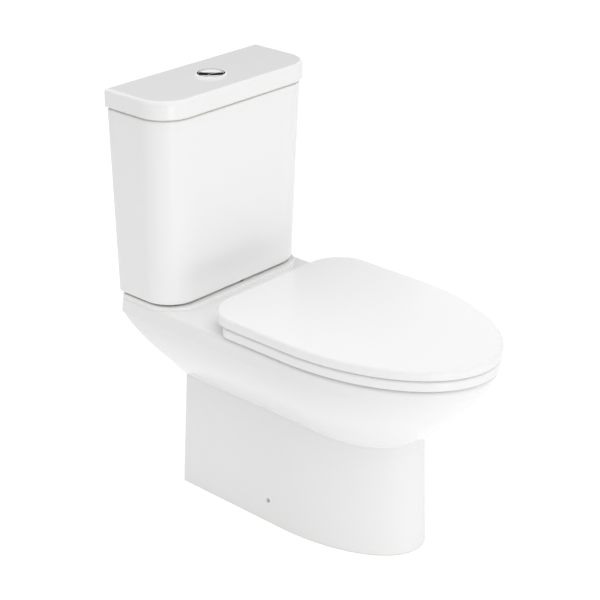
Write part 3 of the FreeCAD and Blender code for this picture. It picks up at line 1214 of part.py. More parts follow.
def fill_float():
    """The float cup with its ear, the link rod in the ear and the lever over the rod."""
    x, y = "-fill_side", out("fill_from_wall")
    inside, outside = "fill_riser / 2 + float_play", "float_diameter / 2"
    foot, roof = f"{FLOAT_TOP} - float_height", f"{FLOAT_TOP} - float_wall"
    cup_profile = ((inside, foot), (f"{inside} + float_wall", foot), (f"{inside} + float_wall", roof),
                   (f"{outside} - float_wall", roof), (f"{outside} - float_wall", foot), (outside, foot),
                   (outside, FLOAT_TOP), (inside, FLOAT_TOP))
    cup = turned("float_cup", cup_profile, x, y)
    ear_foot = f"{FLOAT_TOP} - 2 * float_wall"
    ear_low = (f"{x} + {outside} - float_wall / 2", f"{y} - link_diameter", ear_foot)
    ear_high = (f"{x} + link_side + link_diameter", f"{y} + link_diameter", FLOAT_TOP)
    ear = box("float_ear", ear_low, ear_high)
    link_x = f"{x} + link_side"
    hole = rod("float_ear_hole", "link_diameter", (link_x, y, f"{ear_foot} - 1"), "2 * float_wall + 2")
    float_cup = cut("fill_float", fused("float_blank", [cup, ear]), [hole])
    link_length = f"{LEVER_PIVOT} - lever_height / 2 - link_play - ({ear_foot})"
    link = rod("fill_link_rod", "link_diameter", (link_x, y, ear_foot), link_length)
    lever = new_body("fill_lever")
    sketch = new_sketch(lever, "XZ_Plane")
    near, far = f"{x} + lever_pivot - lever_end", f"{x} + link_side + lever_end"
    low, high = f"{LEVER_PIVOT} - lever_height / 2", f"{LEVER_PIVOT} + lever_height / 2"
    polygon(sketch, ((near, low), (far, low), (far, high), (near, high)))
    circle(sketch, f"{x} + lever_pivot", LEVER_PIVOT, "lever_pin + 2 * running_fit")
    pad(lever, sketch, "lever_width", midplane=True)
    place(lever, "0", y)
    return [float_cup, link, lever]


# Fixings between cistern and pan, and between pan and floor
def cistern_fixings():
    x, y = "bolt_spacing / 2", out("flush_from_wall")
    head_foot, plate_foot = f"({TANK_FLOOR} + bolt_seal_height)", f"({DECK_UNDER} - bolt_plate_height)"
    end, radius = f"{plate_foot} - wing_height - bolt_tail", "bolt_diameter / 2"
    bolt_profile = (("0", end), (radius, end), (radius, head_foot), ("bolt_head / 2", head_foot),
                    ("bolt_head / 2", f"{head_foot} + bolt_head_height"),
                    ("0", f"{head_foot} + bolt_head_height"))
    seal = ring("tank_bolt_seal", "bolt_seal", "bolt_diameter", TANK_FLOOR, head_foot, x, y)
    plate = ring("tank_bolt_plate", "bolt_plate", "bolt_diameter", plate_foot, DECK_UNDER, x, y)
    named = (("tank_bolts", turned("tank_bolt", bolt_profile, x, y)),
             ("tank_bolt_seals", seal),
             ("tank_bolt_plates", plate),
             ("tank_wing_nuts", wing_nut("tank_wing_nut", x, y, plate_foot, "bolt_diameter")))
    pads = []
    for name, depth in (("rear", "cushion_back"), ("front", "cushion_front")):
        foot = ("cushion_side", out(depth), DECK_TOP)
        pads.append(rod(f"cushion_{name}", "cushion_diameter", foot, "tank_gap"))
    cushions = group("tank_cushions", pads + [mirrored(item) for item in pads])
    return [pair(label, item) for label, item in named] + [cushions]


PEDESTAL_FACE = f"(pedestal_width / 2 - pedestal_flare * screw_height / {PEDESTAL_TOP})"


def floor_fixings():
    """An angle bracket inside each side of the pedestal, and the screw that holds the pan to it."""
    y = out(SIDE_SCREWS)
    lean = f"pedestal_flare * bracket_height / {PEDESTAL_TOP}"
    face = f"(pedestal_width / 2 - {lean} - china_wall - bracket_gap)"
    back = f"{face} - bracket_plate"
    body = new_body("floor_bracket_blank")
    sketch = new_sketch(body, "XZ_Plane")
    polygon(sketch, ((face, "0"), (face, "bracket_height"), (back, "bracket_height"), (back, "bracket_plate"),
                     (f"{face} - bracket_foot", "bracket_plate"), (f"{face} - bracket_foot", "0")))
    pad(body, sketch, "bracket_width", midplane=True)
    place(body, "0", y)
    through = "bracket_plate + 2"
    floor_hole_foot = (f"{face} - bracket_hole_inset", y, "-1")
    floor_hole = rod("bracket_floor_hole", "bracket_hole", floor_hole_foot, through)
    side_hole_start = (f"{back} - 1", y, "screw_height")
    side_hole = rod("bracket_side_hole", "screw_diameter", side_hole_start, through, "x")
    bracket = cut("floor_bracket", body, [floor_hole, side_hole])
    head_foot = f"({PEDESTAL_FACE} - screw_recess - screw_head_height)"
    head = rod("screw_head_disc", "screw_head", (head_foot, y, "screw_height"), "screw_head_height", "x")
    shank_start = f"({back} - screw_tail)"
    shank_length = f"{head_foot} - {shank_start}"
    shank = rod("screw_shank", "screw_diameter", (shank_start, y, "screw_height"), shank_length, "x")
    return [pair("floor_brackets", bracket), pair("side_screws", fused("side_screw", [head, shank]))]


def checked(item):
    """The sub-part, once its shape is known to be sound."""
    shape = item.Shape
    if shape.isNull() or not shape.isValid() or not shape.Solids:
        raise RuntimeError(f"{item.Label} has no sound shape")
    return item


sub_parts = pan() + [cistern_tank(), cistern_lid(), seat_ring(), seat_cover()]
sub_parts.append(buffers("seat_buffers", SEAT_FOOT, "seat_gap"))
sub_parts.append(buffers("cover_buffers", COVER_FOOT, "cover_gap"))
sub_parts += hinge_pins_and_dampers() + hinge_fixings() + button_set()
sub_parts += [push_rod(*place_of) for place_of in ROD_PLACES]
sub_parts += [button_spring(*place_of) for place_of in ROD_PLACES]
sub_parts += flush_valve() + rockers() + fill_valve() + fill_float() + cistern_fixings() + floor_fixings()
doc.recompute()

for item in doc.Objects:
    if "Invalid" in item.State or "Error" in item.State:
        raise RuntimeError(f"{item.Label} did not compute: {item.State}")
os.makedirs("parts", exist_ok=True)
for item in sub_parts:
    checked(item).Shape.exportStep(f"parts/{item.Label}.step")
print(len(sub_parts), "sub-parts written")
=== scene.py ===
"""White china close-coupled toilet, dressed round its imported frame. Metres, front towards -Y."""
import json
import math

import bmesh
import bpy
from mathutils import Matrix, Vector


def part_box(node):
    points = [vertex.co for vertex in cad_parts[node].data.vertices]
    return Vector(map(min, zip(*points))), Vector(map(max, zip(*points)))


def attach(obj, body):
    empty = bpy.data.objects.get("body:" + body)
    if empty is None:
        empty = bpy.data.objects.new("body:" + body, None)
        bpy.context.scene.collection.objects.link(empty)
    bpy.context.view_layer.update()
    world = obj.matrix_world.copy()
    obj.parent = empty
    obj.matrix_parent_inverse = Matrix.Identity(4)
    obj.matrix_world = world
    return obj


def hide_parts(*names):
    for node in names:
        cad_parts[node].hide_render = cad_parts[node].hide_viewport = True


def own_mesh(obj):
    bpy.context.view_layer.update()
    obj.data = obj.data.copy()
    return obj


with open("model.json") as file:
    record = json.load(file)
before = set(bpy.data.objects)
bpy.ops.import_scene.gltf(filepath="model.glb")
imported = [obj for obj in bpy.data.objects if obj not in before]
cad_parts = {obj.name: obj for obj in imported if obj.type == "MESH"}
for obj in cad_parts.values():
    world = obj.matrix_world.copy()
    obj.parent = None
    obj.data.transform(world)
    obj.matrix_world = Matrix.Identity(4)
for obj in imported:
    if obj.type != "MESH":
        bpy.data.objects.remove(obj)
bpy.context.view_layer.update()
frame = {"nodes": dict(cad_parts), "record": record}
scene = bpy.context.scene
scene.view_settings.view_transform = "Standard"
MM = 0.001
UP = (0.0, 0.0, 1.0)


# Shader sockets and finishes
class Value:
    """A socket in a finish; arithmetic on it adds Math nodes."""

    def __init__(self, finish, socket):
        self.finish = finish
        self.socket = socket

    def math(self, operation, *values):
        return self.finish.node("ShaderNodeMath", {"operation": operation}, *values)

    def __add__(self, other):
        return self.math("ADD", self, other)

    def __sub__(self, other):
        return self.math("SUBTRACT", self, other)

    def __rsub__(self, other):
        return self.math("SUBTRACT", other, self)

    def __mul__(self, other):
        return self.math("MULTIPLY", self, other)

    def __truediv__(self, other):
        return self.math("DIVIDE", self, other)

    def __rtruediv__(self, other):
        return self.math("DIVIDE", other, self)

    def __pow__(self, other):
        return self.math("POWER", self, other)

    def __abs__(self):
        return self.math("ABSOLUTE", self)

    def __gt__(self, other):
        return self.math("GREATER_THAN", self, other)

    def __lt__(self, other):
        return self.math("LESS_THAN", self, other)

    def at_least(self, other):
        return self.math("MAXIMUM", self, other)

    __radd__ = __add__
    __rmul__ = __mul__


class Finish:
    """One material: its nodes, and the Principled shader that they feed."""

    def __init__(self, name, **constants):
        self.material = bpy.data.materials.new(name)
        self.material.use_nodes = True
        self.tree = self.material.node_tree
        self.shader = self.tree.nodes["Principled BSDF"]
        for socket, constant in constants.items():
            self.shader.inputs[socket.replace("_", " ")].default_value = constant
        self.place = self.node("ShaderNodeTexCoord", output="Object")

    def link(self, target, source):
        if isinstance(source, Value):
            self.tree.links.new(source.socket, target)
        else:
            target.default_value = source

    def node(self, kind, settings=None, *values, output=0, **named):
        """Any node: its settings first, then its sockets in order, then sockets by name."""
        made = self.tree.nodes.new(kind)
        for setting, choice in (settings or {}).items():
            setattr(made, setting, choice)
        for target, source in zip(made.inputs, values):
            self.link(target, source)
        for name, source in named.items():
            self.link(made.inputs[name.replace("_", " ")], source)
        return Value(self, made.outputs[output])

    def axes(self):
        """The place on the object as x, y and z, in metres."""
        return [self.node("ShaderNodeSeparateXYZ", None, self.place, output=i) for i in range(3)]

    def noise(self, scale, detail=2.0, stretch=(1.0, 1.0, 1.0)):
        spot = self.node("ShaderNodeVectorMath", {"operation": "MULTIPLY"}, self.place, stretch)
        return self.node("ShaderNodeTexNoise", None, Vector=spot, Scale=scale, Detail=detail)

    def ramp(self, factor, low, high):
        return self.node("ShaderNodeMapRange", {"clamp": True}, factor, low, high, 0.0, 1.0)

    def mix(self, factor, first, second):
        made = self.tree.nodes.new("ShaderNodeMix")
        made.data_type = "RGBA"
        self.link(made.inputs[0], factor)
        self.link(made.inputs[6], first)
        self.link(made.inputs[7], second)
        return Value(self, made.outputs[2])

    def bump(self, height, strength, distance):
        return self.node("ShaderNodeBump", None, Height=height, Strength=strength, Distance=distance)

    def feed(self, **sockets):
        for name, source in sockets.items():
            self.link(self.shader.inputs[name.replace("_", " ")], source)
        return self.material


def grey(level):
    """An opaque grey."""
    return (level, level, level, 1.0)


# Where the china has no glaze, as a factor from 0 to 1
def bare_shell(finish):
    """The foot, and the hollow behind the shell."""
    rim, shoulder_drop, waist_drop, hull_drop = 0.385, 0.028, 0.155, 0.201
    hull_bow, foot_bow, foot_length = -0.061, 0.007, 0.215
    skin, nose_skin, hull_start, deck_under, foot_ring = 0.006, 0.014, 0.225, 0.3595, 0.0012
    x, y, z = finish.axes()
    side = abs(x)
    drop = (rim - z).at_least(0.0)
    fall = (drop - shoulder_drop).at_least(0.0) / (waist_drop - shoulder_drop)
    hull = 0.1815 - 0.0735 * fall ** 1.7
    hull_nose = 0.291 - 0.184 * (drop / hull_drop) ** 1.47
    pedestal = 0.115 - 0.0333 * z
    reach = (hull * (z > rim - hull_drop)).at_least(pedestal) - skin
    ahead = (hull_bow - y).at_least(0.0) / (hull_nose - nose_skin).at_least(0.04)
    in_hull = (side / reach) ** 2.0 + ahead ** 2.0
    in_foot = (side / (pedestal - skin)) ** 2.0 + ((foot_bow - y).at_least(0.0) / foot_length) ** 2.0
    inside = ((in_hull < 1.0) * (z > hull_start)).at_least((in_foot < 1.0) * (z < hull_start))
    return (inside * (z < deck_under)).at_least(z < foot_ring)


def bare_bowl(finish):
    """The bowl's outside."""
    bowl_top, bowl_depth = 0.36, 0.235
    x, y, z = finish.axes()
    sink = ((bowl_top - z) / bowl_depth).at_least(0.0)
    bowl_side = 0.147 - 0.1 * sink ** 0.9
    bowl_back = 0.069 - 0.108 * sink
    bowl_front = 0.188 * sink ** 0.8 - 0.333
    middle = 0.5 * (bowl_back + bowl_front)
    return (abs(x) / bowl_side) ** 2.0 + (abs(y - middle) / (bowl_back - middle)) ** 2.0 > 1.0


def bare_outlet(finish):
    """The trapway's outside."""
    outlet_height, glazed_radius = 0.18, 0.0445
    x, _, z = finish.axes()
    return x ** 2.0 + (z - outlet_height) ** 2.0 > glazed_radius ** 2.0


def bare_duct(finish):
    """The flush duct's outside."""
    inlet_y, glazed_radius = 0.275, 0.034
    x, y, _ = finish.axes()
    return x ** 2.0 + (y - inlet_y) ** 2.0 > glazed_radius ** 2.0


def bare_tank(finish):
    """The ring that the lid rests on, and the foot."""
    top_ring, foot = 0.7522, 0.3943
    z = finish.axes()[2]
    return (z > top_ring).at_least(z < foot)


def bare_lid(finish):
    """The underside."""
    half_width, back, front, ceiling, lip_foot = 0.1705, 0.3475, 0.2185, 0.7755, 0.7528
    x, y, z = finish.axes()
    inside = (abs(x) < half_width) * (z < ceiling) * (y < back) * (y > front)
    return inside.at_least(z < lip_foot)


def china(name, bare_part):
    """Gloss white glaze with its slow ripple, over a pale matt body where it is bare."""
    finish = Finish(name, IOR=1.5)
    bare = bare_part(finish)
    ripple = finish.noise(55.0, 1.0)
    clouds = finish.noise(4.0, 2.0)
    grit = finish.noise(900.0, 3.0)
    glaze = finish.mix(clouds, (0.872, 0.874, 0.872, 1.0), (0.892, 0.892, 0.889, 1.0))
    body = finish.mix(grit, (0.66, 0.62, 0.55, 1.0), (0.74, 0.7, 0.63, 1.0))
    rough = (0.07 + 0.05 * clouds) * (1.0 - bare) + (0.75 + 0.15 * grit) * bare
    height = ripple * (1.0 - bare) + 0.6 * grit * bare
    return finish.feed(Base_Color=finish.mix(bare, glaze, body), Roughness=rough,
                       Normal=finish.bump(height, 0.03, 0.002))


def seat_gloss():
    """Polished white thermoset."""
    finish = Finish("seat_gloss", IOR=1.5)
    clouds = finish.noise(6.0, 2.0)
    skin = finish.noise(260.0, 2.0)
    colour = finish.mix(clouds, (0.893, 0.893, 0.895, 1.0), (0.91, 0.91, 0.91, 1.0))
    return finish.feed(Base_Color=colour, Roughness=0.12 + 0.06 * clouds + 0.02 * skin,
                       Normal=finish.bump(skin, 0.015, 0.0005))


def plated():
    """Bright chrome with a trace of polishing lines."""
    finish = Finish("bright_chrome", Metallic=1.0)
    lines = finish.noise(700.0, 2.0, (1.0, 0.15, 1.0))
    colour = finish.mix(lines, (0.82, 0.82, 0.83, 1.0), (0.88, 0.88, 0.89, 1.0))
    return finish.feed(Base_Color=colour, Roughness=0.04 + 0.03 * lines)


def stainless():
    """Drawn stainless, brushed along its height."""
    finish = Finish("stainless_steel", Metallic=1.0)
    lines = finish.noise(1500.0, 3.0, (1.0, 1.0, 0.06))
    stain = finish.noise(90.0, 3.0)
    colour = finish.mix(stain, (0.5, 0.49, 0.47, 1.0), (0.66, 0.66, 0.66, 1.0))
    return finish.feed(Base_Color=colour, Roughness=0.22 + 0.2 * lines,
                       Normal=finish.bump(lines, 0.1, 0.0003))


def moulded(name, dark, light, rough, grain=0.05):
    """Moulded plastic: cloudy colour, fine skin."""
    finish = Finish(name, IOR=1.47)
    flow = finish.noise(28.0, 3.0, (1.0, 1.0, 0.3))
    skin = finish.noise(1400.0, 2.0)
    colour = finish.mix(flow, dark + (1.0,), light + (1.0,))
    return finish.feed(Base_Color=colour, Roughness=rough * (0.85 + 0.3 * flow) + 0.05 * skin,
                       Normal=finish.bump(skin, grain, 0.0004))


def rubber():
    """Matt black rubber with a bloom."""
    finish = Finish("black_rubber", IOR=1.45)
    bloom = finish.noise(140.0, 4.0)
    skin = finish.noise(2200.0, 2.0)
    faded = finish.ramp(bloom, 0.45, 0.75)
    colour = finish.mix(faded, (0.02, 0.02, 0.021, 1.0), (0.065, 0.064, 0.062, 1.0))
    return finish.feed(Base_Color=colour, Roughness=0.6 + 0.25 * bloom,
                       Normal=finish.bump(skin, 0.12, 0.0004))


FINISHES = {
    "seat_plastic": seat_gloss(),
    "chrome": plated(),
    "steel": stainless(),
    "bracket_plastic": moulded("bracket_nylon", (0.7, 0.69, 0.65), (0.78, 0.78, 0.75), 0.5),
    "rubber": rubber(),
    "damper_plastic": moulded("damper_acetal", (0.11, 0.11, 0.12), (0.17, 0.17, 0.18), 0.35),
    "valve_white": moulded("valve_white", (0.74, 0.74, 0.72), (0.82, 0.82, 0.8), 0.4),
    "valve_blue": moulded("valve_blue", (0.07, 0.17, 0.42), (0.11, 0.24, 0.53), 0.4),
}
CHINA = {
    "pan": china("pan_china", bare_shell),
    "pan_bowl": china("bowl_china", bare_bowl),
    "pan_trapway": china("trapway_china", bare_outlet),
    "pan_outlet": china("outlet_china", bare_outlet),
    "pan_flush_duct": china("duct_china", bare_duct),
    "cistern_tank": china("tank_china", bare_tank),
    "cistern_lid": china("lid_china", bare_lid),
}
SLOTS = {row["node"]: row["material_slot"] for row in frame["record"]["subparts"]}
BODIES = {node: body for body, nodes in frame["record"]["behaviour"]["bodies"].items() for node in nodes}
for name, node in frame["nodes"].items():
    node.data.materials.clear()
    node.data.materials.append(CHINA.get(name) or FINISHES[SLOTS[name]])


# Mesh pieces that stand for CAD nodes, in millimetres until their vertices are made
M8, M8_CORE, M8_RIDGE, M8_PITCH = 4.0, 3.3, 0.75, 1.25


def piece(name, bm, *nodes):
    """A finished mesh in its nodes' finish, moving with their body."""
    bmesh.ops.recalc_face_normals(bm, faces=bm.faces)
    for face in bm.faces:
        face.smooth = True
    mesh = bpy.data.meshes.new(name)
    bm.to_mesh(mesh)
    bm.free()
    for attribute in ("custom_normal", "sharp_face", "sharp_edge"):
        if attribute in mesh.attributes:
            mesh.attributes.remove(mesh.attributes[attribute])
    mesh.set_sharp_from_angle(angle=math.radians(40.0))
    mesh.materials.clear()
    mesh.materials.append(FINISHES[SLOTS[nodes[0]]])
    item = bpy.data.objects.new(name, mesh)
    scene.collection.objects.link(item)
    item.modifiers.new("flat_faces", "WEIGHTED_NORMAL").keep_sharp = True
    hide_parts(*nodes)
    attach(item, BODIES[nodes[0]])
    return item


def extent(node):
    """A node's lowest and highest corner and its middle, in millimetres."""
    low, high = [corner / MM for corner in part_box(node)]
    return low, high, (low + high) / 2


def cad_copy(node):
    """A CAD node's mesh with its seams closed and its flat faces whole."""
    bm = bmesh.new()
    bm.from_mesh(frame["nodes"][node].data)
    bmesh.ops.remove_doubles(bm, verts=bm.verts, dist=1e-6)
    bmesh.ops.dissolve_limit(bm, angle_limit=math.radians(0.5), verts=bm.verts, edges=bm.edges)
    return bm


def rounded(bm, width, segments=3, angle=35.0):
    """Rounds every edge sharper than the angle."""
    sharp = [edge for edge in bm.edges
             if len(edge.link_faces) == 2 and edge.calc_face_angle() > math.radians(angle)]
    bmesh.ops.bevel(bm, geom=sharp, offset=width * MM, offset_type="OFFSET", segments=segments, profile=0.5,
                    affect="EDGES", clamp_overlap=True, material=-1)
    return bm


def lathe(points, x, y, steps=64):
    """A profile of (radius, height), turned about an upright axis; closed unless it starts on the axis."""
    bm = bmesh.new()
    verts = [bm.verts.new(Vector((x + radius, y, height)) * MM) for radius, height in points]
    edges = [bm.edges.new(ends) for ends in zip(verts, verts[1:])]
    if points[0][0] > 0.0:
        edges.append(bm.edges.new((verts[-1], verts[0])))
    bmesh.ops.spin(bm, geom=verts + edges, cent=Vector((x, y, 0.0)) * MM, axis=UP, angle=math.tau,
                   steps=steps, use_merge=True)
    bmesh.ops.remove_doubles(bm, verts=bm.verts, dist=1e-6)
    bmesh.ops.recalc_face_normals(bm, faces=bm.faces)
    return bm


def wound(bm, verts, edges, x, y, turns, rise, steps):
    """Winds a closed outline upwards about an upright axis and closes both ends."""
    made = bmesh.ops.spin(bm, geom=verts + edges, cent=Vector((x, y, 0.0)) * MM, axis=UP,
                          dvec=(0.0, 0.0, rise * MM / steps), angle=math.tau * turns, steps=steps)
    tips = edges + [item for item in made["geom_last"] if isinstance(item, bmesh.types.BMEdge)]
    bmesh.ops.holes_fill(bm, edges=tips, sides=len(verts))


def thread(bm, x, y, radius, depth, low, high, pitch):
    """A helical ridge up to a radius, from one height to another."""
    turns = (high - low) / pitch - 0.8
    steps = int(turns * 24)
    corners = ((radius - depth, low), (radius, low + 0.4 * pitch), (radius - depth, low + 0.8 * pitch))
    verts = [bm.verts.new(Vector((x + reach, y, height)) * MM) for reach, height in corners]
    edges = [bm.edges.new((verts[i], verts[i - 1])) for i in range(3)]
    wound(bm, verts, edges, x, y, turns, turns * pitch, steps)
    return bm


def scored(bm, x, y, places):
    """Cuts the flat top along planes at these (axis, place) pairs about (x, y)."""
    top = max(vert.co.z for vert in bm.verts)
    for axis, place in places:
        faces = [face for face in bm.faces if min(vert.co.z for vert in face.verts) > top - 1e-6]
        geometry = list({vert for face in faces for vert in face.verts})
        geometry += list({edge for face in faces for edge in face.edges}) + faces
        spot = Vector((x * MM, y * MM, top))
        spot[axis] += place * MM
        bmesh.ops.bisect_plane(bm, geom=geometry, dist=1e-7, plane_co=spot, plane_no=Matrix.Identity(3)[axis])
    return top


def sunk(bm, x, y, slots, depth):
    """Sinks slots, given as (x, y) half-widths, into the flat top about (x, y)."""
    reaches = sorted({(axis, slot[axis]) for slot in slots for axis in range(2)})
    top = scored(bm, x, y, [(axis, side * reach) for axis, reach in reaches for side in (-1.0, 1.0)])
    chosen = []
    for face in bm.faces:
        middle = face.calc_center_median() / MM
        inside = any(abs(middle.x - x) < slot[0] and abs(middle.y - y) < slot[1] for slot in slots)
        if inside and middle.z > top / MM - 1e-3:
            chosen.append(face)
    made = bmesh.ops.extrude_face_region(bm, geom=chosen)["geom"]
    verts = [item for item in made if isinstance(item, bmesh.types.BMVert)]
    bmesh.ops.translate(bm, verts=verts, vec=(0.0, 0.0, -depth * MM))
    bmesh.ops.delete(bm, geom=[face for face in chosen if face.is_valid], context="FACES_ONLY")
    return bm


def both_sides(bm):
    """Adds the mirrored copy across the centre plane."""
    geometry = bm.verts[:] + bm.edges[:] + bm.faces[:]
    bmesh.ops.mirror(bm, geom=geometry, matrix=Matrix.Identity(4), merge_dist=0.0, axis="X")
    return bm


def dished(node, x, y, depth, reach):
    """A button half, scored fine on top and hollowed towards the button's middle."""
    edge, line_gap, lines_each_way, edge_depth = 0.35, 1.5, 15, 0.6
    bm = rounded(cad_copy(node), edge)
    steps = range(-lines_each_way, lines_each_way + 1)
    top = scored(bm, x, y, [(axis, line_gap * step) for axis in range(2) for step in steps])
    for vert in bm.verts:
        if vert.co.z > top - edge_depth * MM:
            far = min(1.0, math.hypot(vert.co.x / MM - x, vert.co.y / MM - y) / reach)
            vert.co.z -= depth * MM * (1.0 - far * far)
    return bm


def fluted(node, bore, flutes, depth):
    """A round nut whose outer wall is drawn in at every other stretch."""
    low, high, middle = extent(node)
    outer, ridge_end = (high.x - low.x) / 2, 150.0 / flutes
    points = ((bore, low.z), (outer, low.z), (outer, high.z), (bore, high.z))
    bm = lathe(points, middle.x, middle.y, flutes * 4)
    for vert in bm.verts:
        away = Vector((vert.co.x / MM - middle.x, vert.co.y / MM - middle.y, 0.0))
        turn = math.degrees(math.atan2(away.y, away.x)) % (360.0 / flutes)
        if away.length > outer - 0.1 and turn > ridge_end:
            vert.co -= away.normalized() * depth * MM
    return rounded(bm, 0.4)


def ringed(radius, low, high, gap, depth):
    """An outer wall's profile from low to high, with a shallow ring groove at every gap."""
    half_mouth, half_floor, floor_radius = 1.0, 0.6, radius - depth
    wall = [(radius, low)]
    height = low + gap
    while height < high - gap / 2:
        wall += [(radius, height - half_mouth), (floor_radius, height - half_floor)]
        wall += [(floor_radius, height + half_floor), (radius, height + half_mouth)]
        height += gap
    return wall + [(radius, high)]


def button():
    """The bezel with its threaded sleeve, the two dished keys and the nut under the lid."""
    bore, sleeve, flange, flange_height, dish_depth = 23.0, 24.5, 29.0, 3.5, 1.4
    low, high, middle = extent("button_bezel")
    x, y, foot, top = middle.x, middle.y, low.z, high.z
    core, seat = sleeve - 0.7, top - flange_height
    points = ((bore, foot), (core, foot), (core, seat - 0.7), (sleeve, seat), (flange, seat),
              (flange, top - 2.6), (flange - 1.6, top - 0.8), (flange - 3.7, top), (bore, top))
    bm = rounded(lathe(points, x, y, 96), 0.5, 3, 12.0)
    piece("bezel_ring", thread(bm, x, y, sleeve, 0.75, foot + 0.5, top - 14.0, 2.0), "button_bezel")
    piece("full_flush_key", dished("button_full", x, y, dish_depth, bore), "button_full")
    piece("half_flush_key", dished("button_half", x, y, dish_depth, bore), "button_half")
    piece("bezel_nut", fluted("button_nut", sleeve, 18, 1.2), "button_nut")


def shank(foot, thread_end, top):
    """An M8 shank's profile: a chamfered, thinner core where the thread goes, then the full size."""
    return [(0.0, foot), (M8_CORE - 0.5, foot), (M8_CORE, foot + 0.6), (M8_CORE, thread_end),
            (M8, thread_end + 1.0), (M8, top)]


def bolts():
    """The slotted cistern bolts and the seat's fixing studs, in pairs."""
    head, head_height, plain_shank, plain_stud = 10.0, 6.0, 16.0, 11.0
    low, high, middle = extent("tank_bolts")
    x, y, foot, top = high.x - head, middle.y, low.z, high.z
    under_head = top - head_height
    thread_end = under_head - plain_shank
    points = shank(foot, thread_end, under_head)
    points += [(head, under_head), (head, top - 2.4), (head - 1.4, top - 0.4), (head - 3.4, top), (0.0, top)]
    bm = sunk(rounded(lathe(points, x, y, 48), 0.3), x, y, ((5.6, 1.2),), 2.4)
    thread(bm, x, y, M8, M8_RIDGE, foot + 0.4, thread_end, M8_PITCH)
    piece("cistern_bolts", both_sides(bm), "tank_bolts")
    low, high, middle = extent("hinge_bolts")
    x, y, foot, top = high.x - M8, middle.y, low.z, high.z
    thread_end = top - plain_stud
    bm = rounded(lathe(shank(foot, thread_end, top) + [(0.0, top)], x, y, 32), 0.2)
    thread(bm, x, y, M8, M8_RIDGE, foot + 0.4, thread_end, M8_PITCH)
    piece("seat_fixing_bolts", both_sides(bm), "hinge_bolts")


def side_screws():
    """The cross-headed screws in the pedestal's sides, turned upright and then laid along X."""
    core, outer, head, head_height, plain_shank = 2.35, 3.0, 4.2, 4.0, 2.0
    _, high, middle = extent("side_screws")
    vertices = frame["nodes"]["side_screws"].data.vertices
    tip = min(vert.co.x for vert in vertices if vert.co.x > 0.0) / MM
    top = high.x
    under_head = top - head_height
    thread_end = under_head - plain_shank
    points = ((0.0, tip), (1.6, tip + 0.8), (core, tip + 3.0), (core, thread_end), (outer, thread_end + 1.0),
              (outer, under_head), (head, under_head), (head, top - 1.6), (head - 0.9, top - 0.3),
              (head - 1.3, top), (0.0, top))
    bm = sunk(lathe(points, 0.0, 0.0, 32), 0.0, 0.0, ((2.3, 0.55), (0.55, 2.3)), 1.9)
    thread(bm, 0.0, 0.0, outer, 0.7, tip + 2.6, thread_end, 2.2)
    upright_to_side = Matrix.Rotation(math.radians(90.0), 3, "Y")
    bmesh.ops.rotate(bm, verts=bm.verts, cent=(0.0, 0.0, 0.0), matrix=upright_to_side)
    bmesh.ops.translate(bm, verts=bm.verts, vec=Vector((0.0, middle.y, middle.z)) * MM)
    piece("pedestal_screws", both_sides(bm), "side_screws")


def flush_valve():
    """The tower with its level marks, the tail's nut and the ribbed gasket round it."""
    inner, outer, foot_flange, plate, tube_hole, mark_gap = 30.0, 33.0, 38.0, 3.0, 15.6, 20.0
    low, high, middle = extent("flush_valve_tower")
    foot, top = low.z, high.z
    points = [(inner, foot), (foot_flange, foot), (foot_flange, foot + plate)]
    points += ringed(outer, foot + plate, top, mark_gap, 0.6)
    points += [(tube_hole, top), (tube_hole, top - plate), (inner, top - plate)]
    piece("valve_tower", rounded(lathe(points, middle.x, middle.y), 0.3), "flush_valve_tower")
    tail, gasket_bore, gasket_outer, rib_gap = 29.0, 29.5, 51.0, 4.5
    piece("valve_tail_nut", fluted("flush_valve_nut", tail, 16, 1.6), "flush_valve_nut")
    low, high, middle = extent("coupling_gasket")
    points = [(gasket_bore, low.z)] + ringed(gasket_outer, low.z, high.z, rib_gap, 1.2)
    points.append((gasket_bore, high.z))
    piece("gasket_ring", rounded(lathe(points, middle.x, middle.y), 0.5), "coupling_gasket")


def fill_valve():
    """The riser with its threaded tail, flange and level rings."""
    bore, core, neck, tail, riser, flange = 6.0, 9.5, 10.4, 10.48, 12.0, 17.0
    tail_length, flange_height, ring_gap = 63.0, 5.0, 24.0
    low, high, middle = extent("fill_valve_body")
    x, y, foot, top = middle.x, middle.y, low.z, high.z
    seat = foot + tail_length
    points = [(bore, foot), (core, foot), (core, seat - 3.0), (neck, seat - 2.0), (neck, seat),
              (flange, seat), (flange, seat + flange_height)]
    points += ringed(riser, seat + flange_height, top, ring_gap, 0.6) + [(bore, top)]
    bm = rounded(lathe(points, x, y, 48), 0.4)
    thread(bm, x, y, tail, 1.0, foot + 0.5, seat - 3.0, 1.81)
    piece("fill_riser", bm, "fill_valve_body")


def spring(name, node):
    """A coil, wound upwards."""
    radius, wire, turns, turn_steps, travel = 4.6, 0.5, 6, 32, 6.2
    low, high, middle = extent(node)
    x, y, length = middle.x, middle.y, high.z - low.z
    bm = bmesh.new()
    start = Matrix.Translation(Vector((x + radius, y, low.z + wire)) * MM)
    upright = start @ Matrix.Rotation(math.radians(90.0), 4, "X")
    ring = bmesh.ops.create_circle(bm, segments=12, radius=wire * MM, matrix=upright)["verts"]
    wound(bm, ring, bm.edges[:], x, y, turns, length - 2.0 * wire, turns * turn_steps)
    coil = piece(name, bm, node)
    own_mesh(coil)


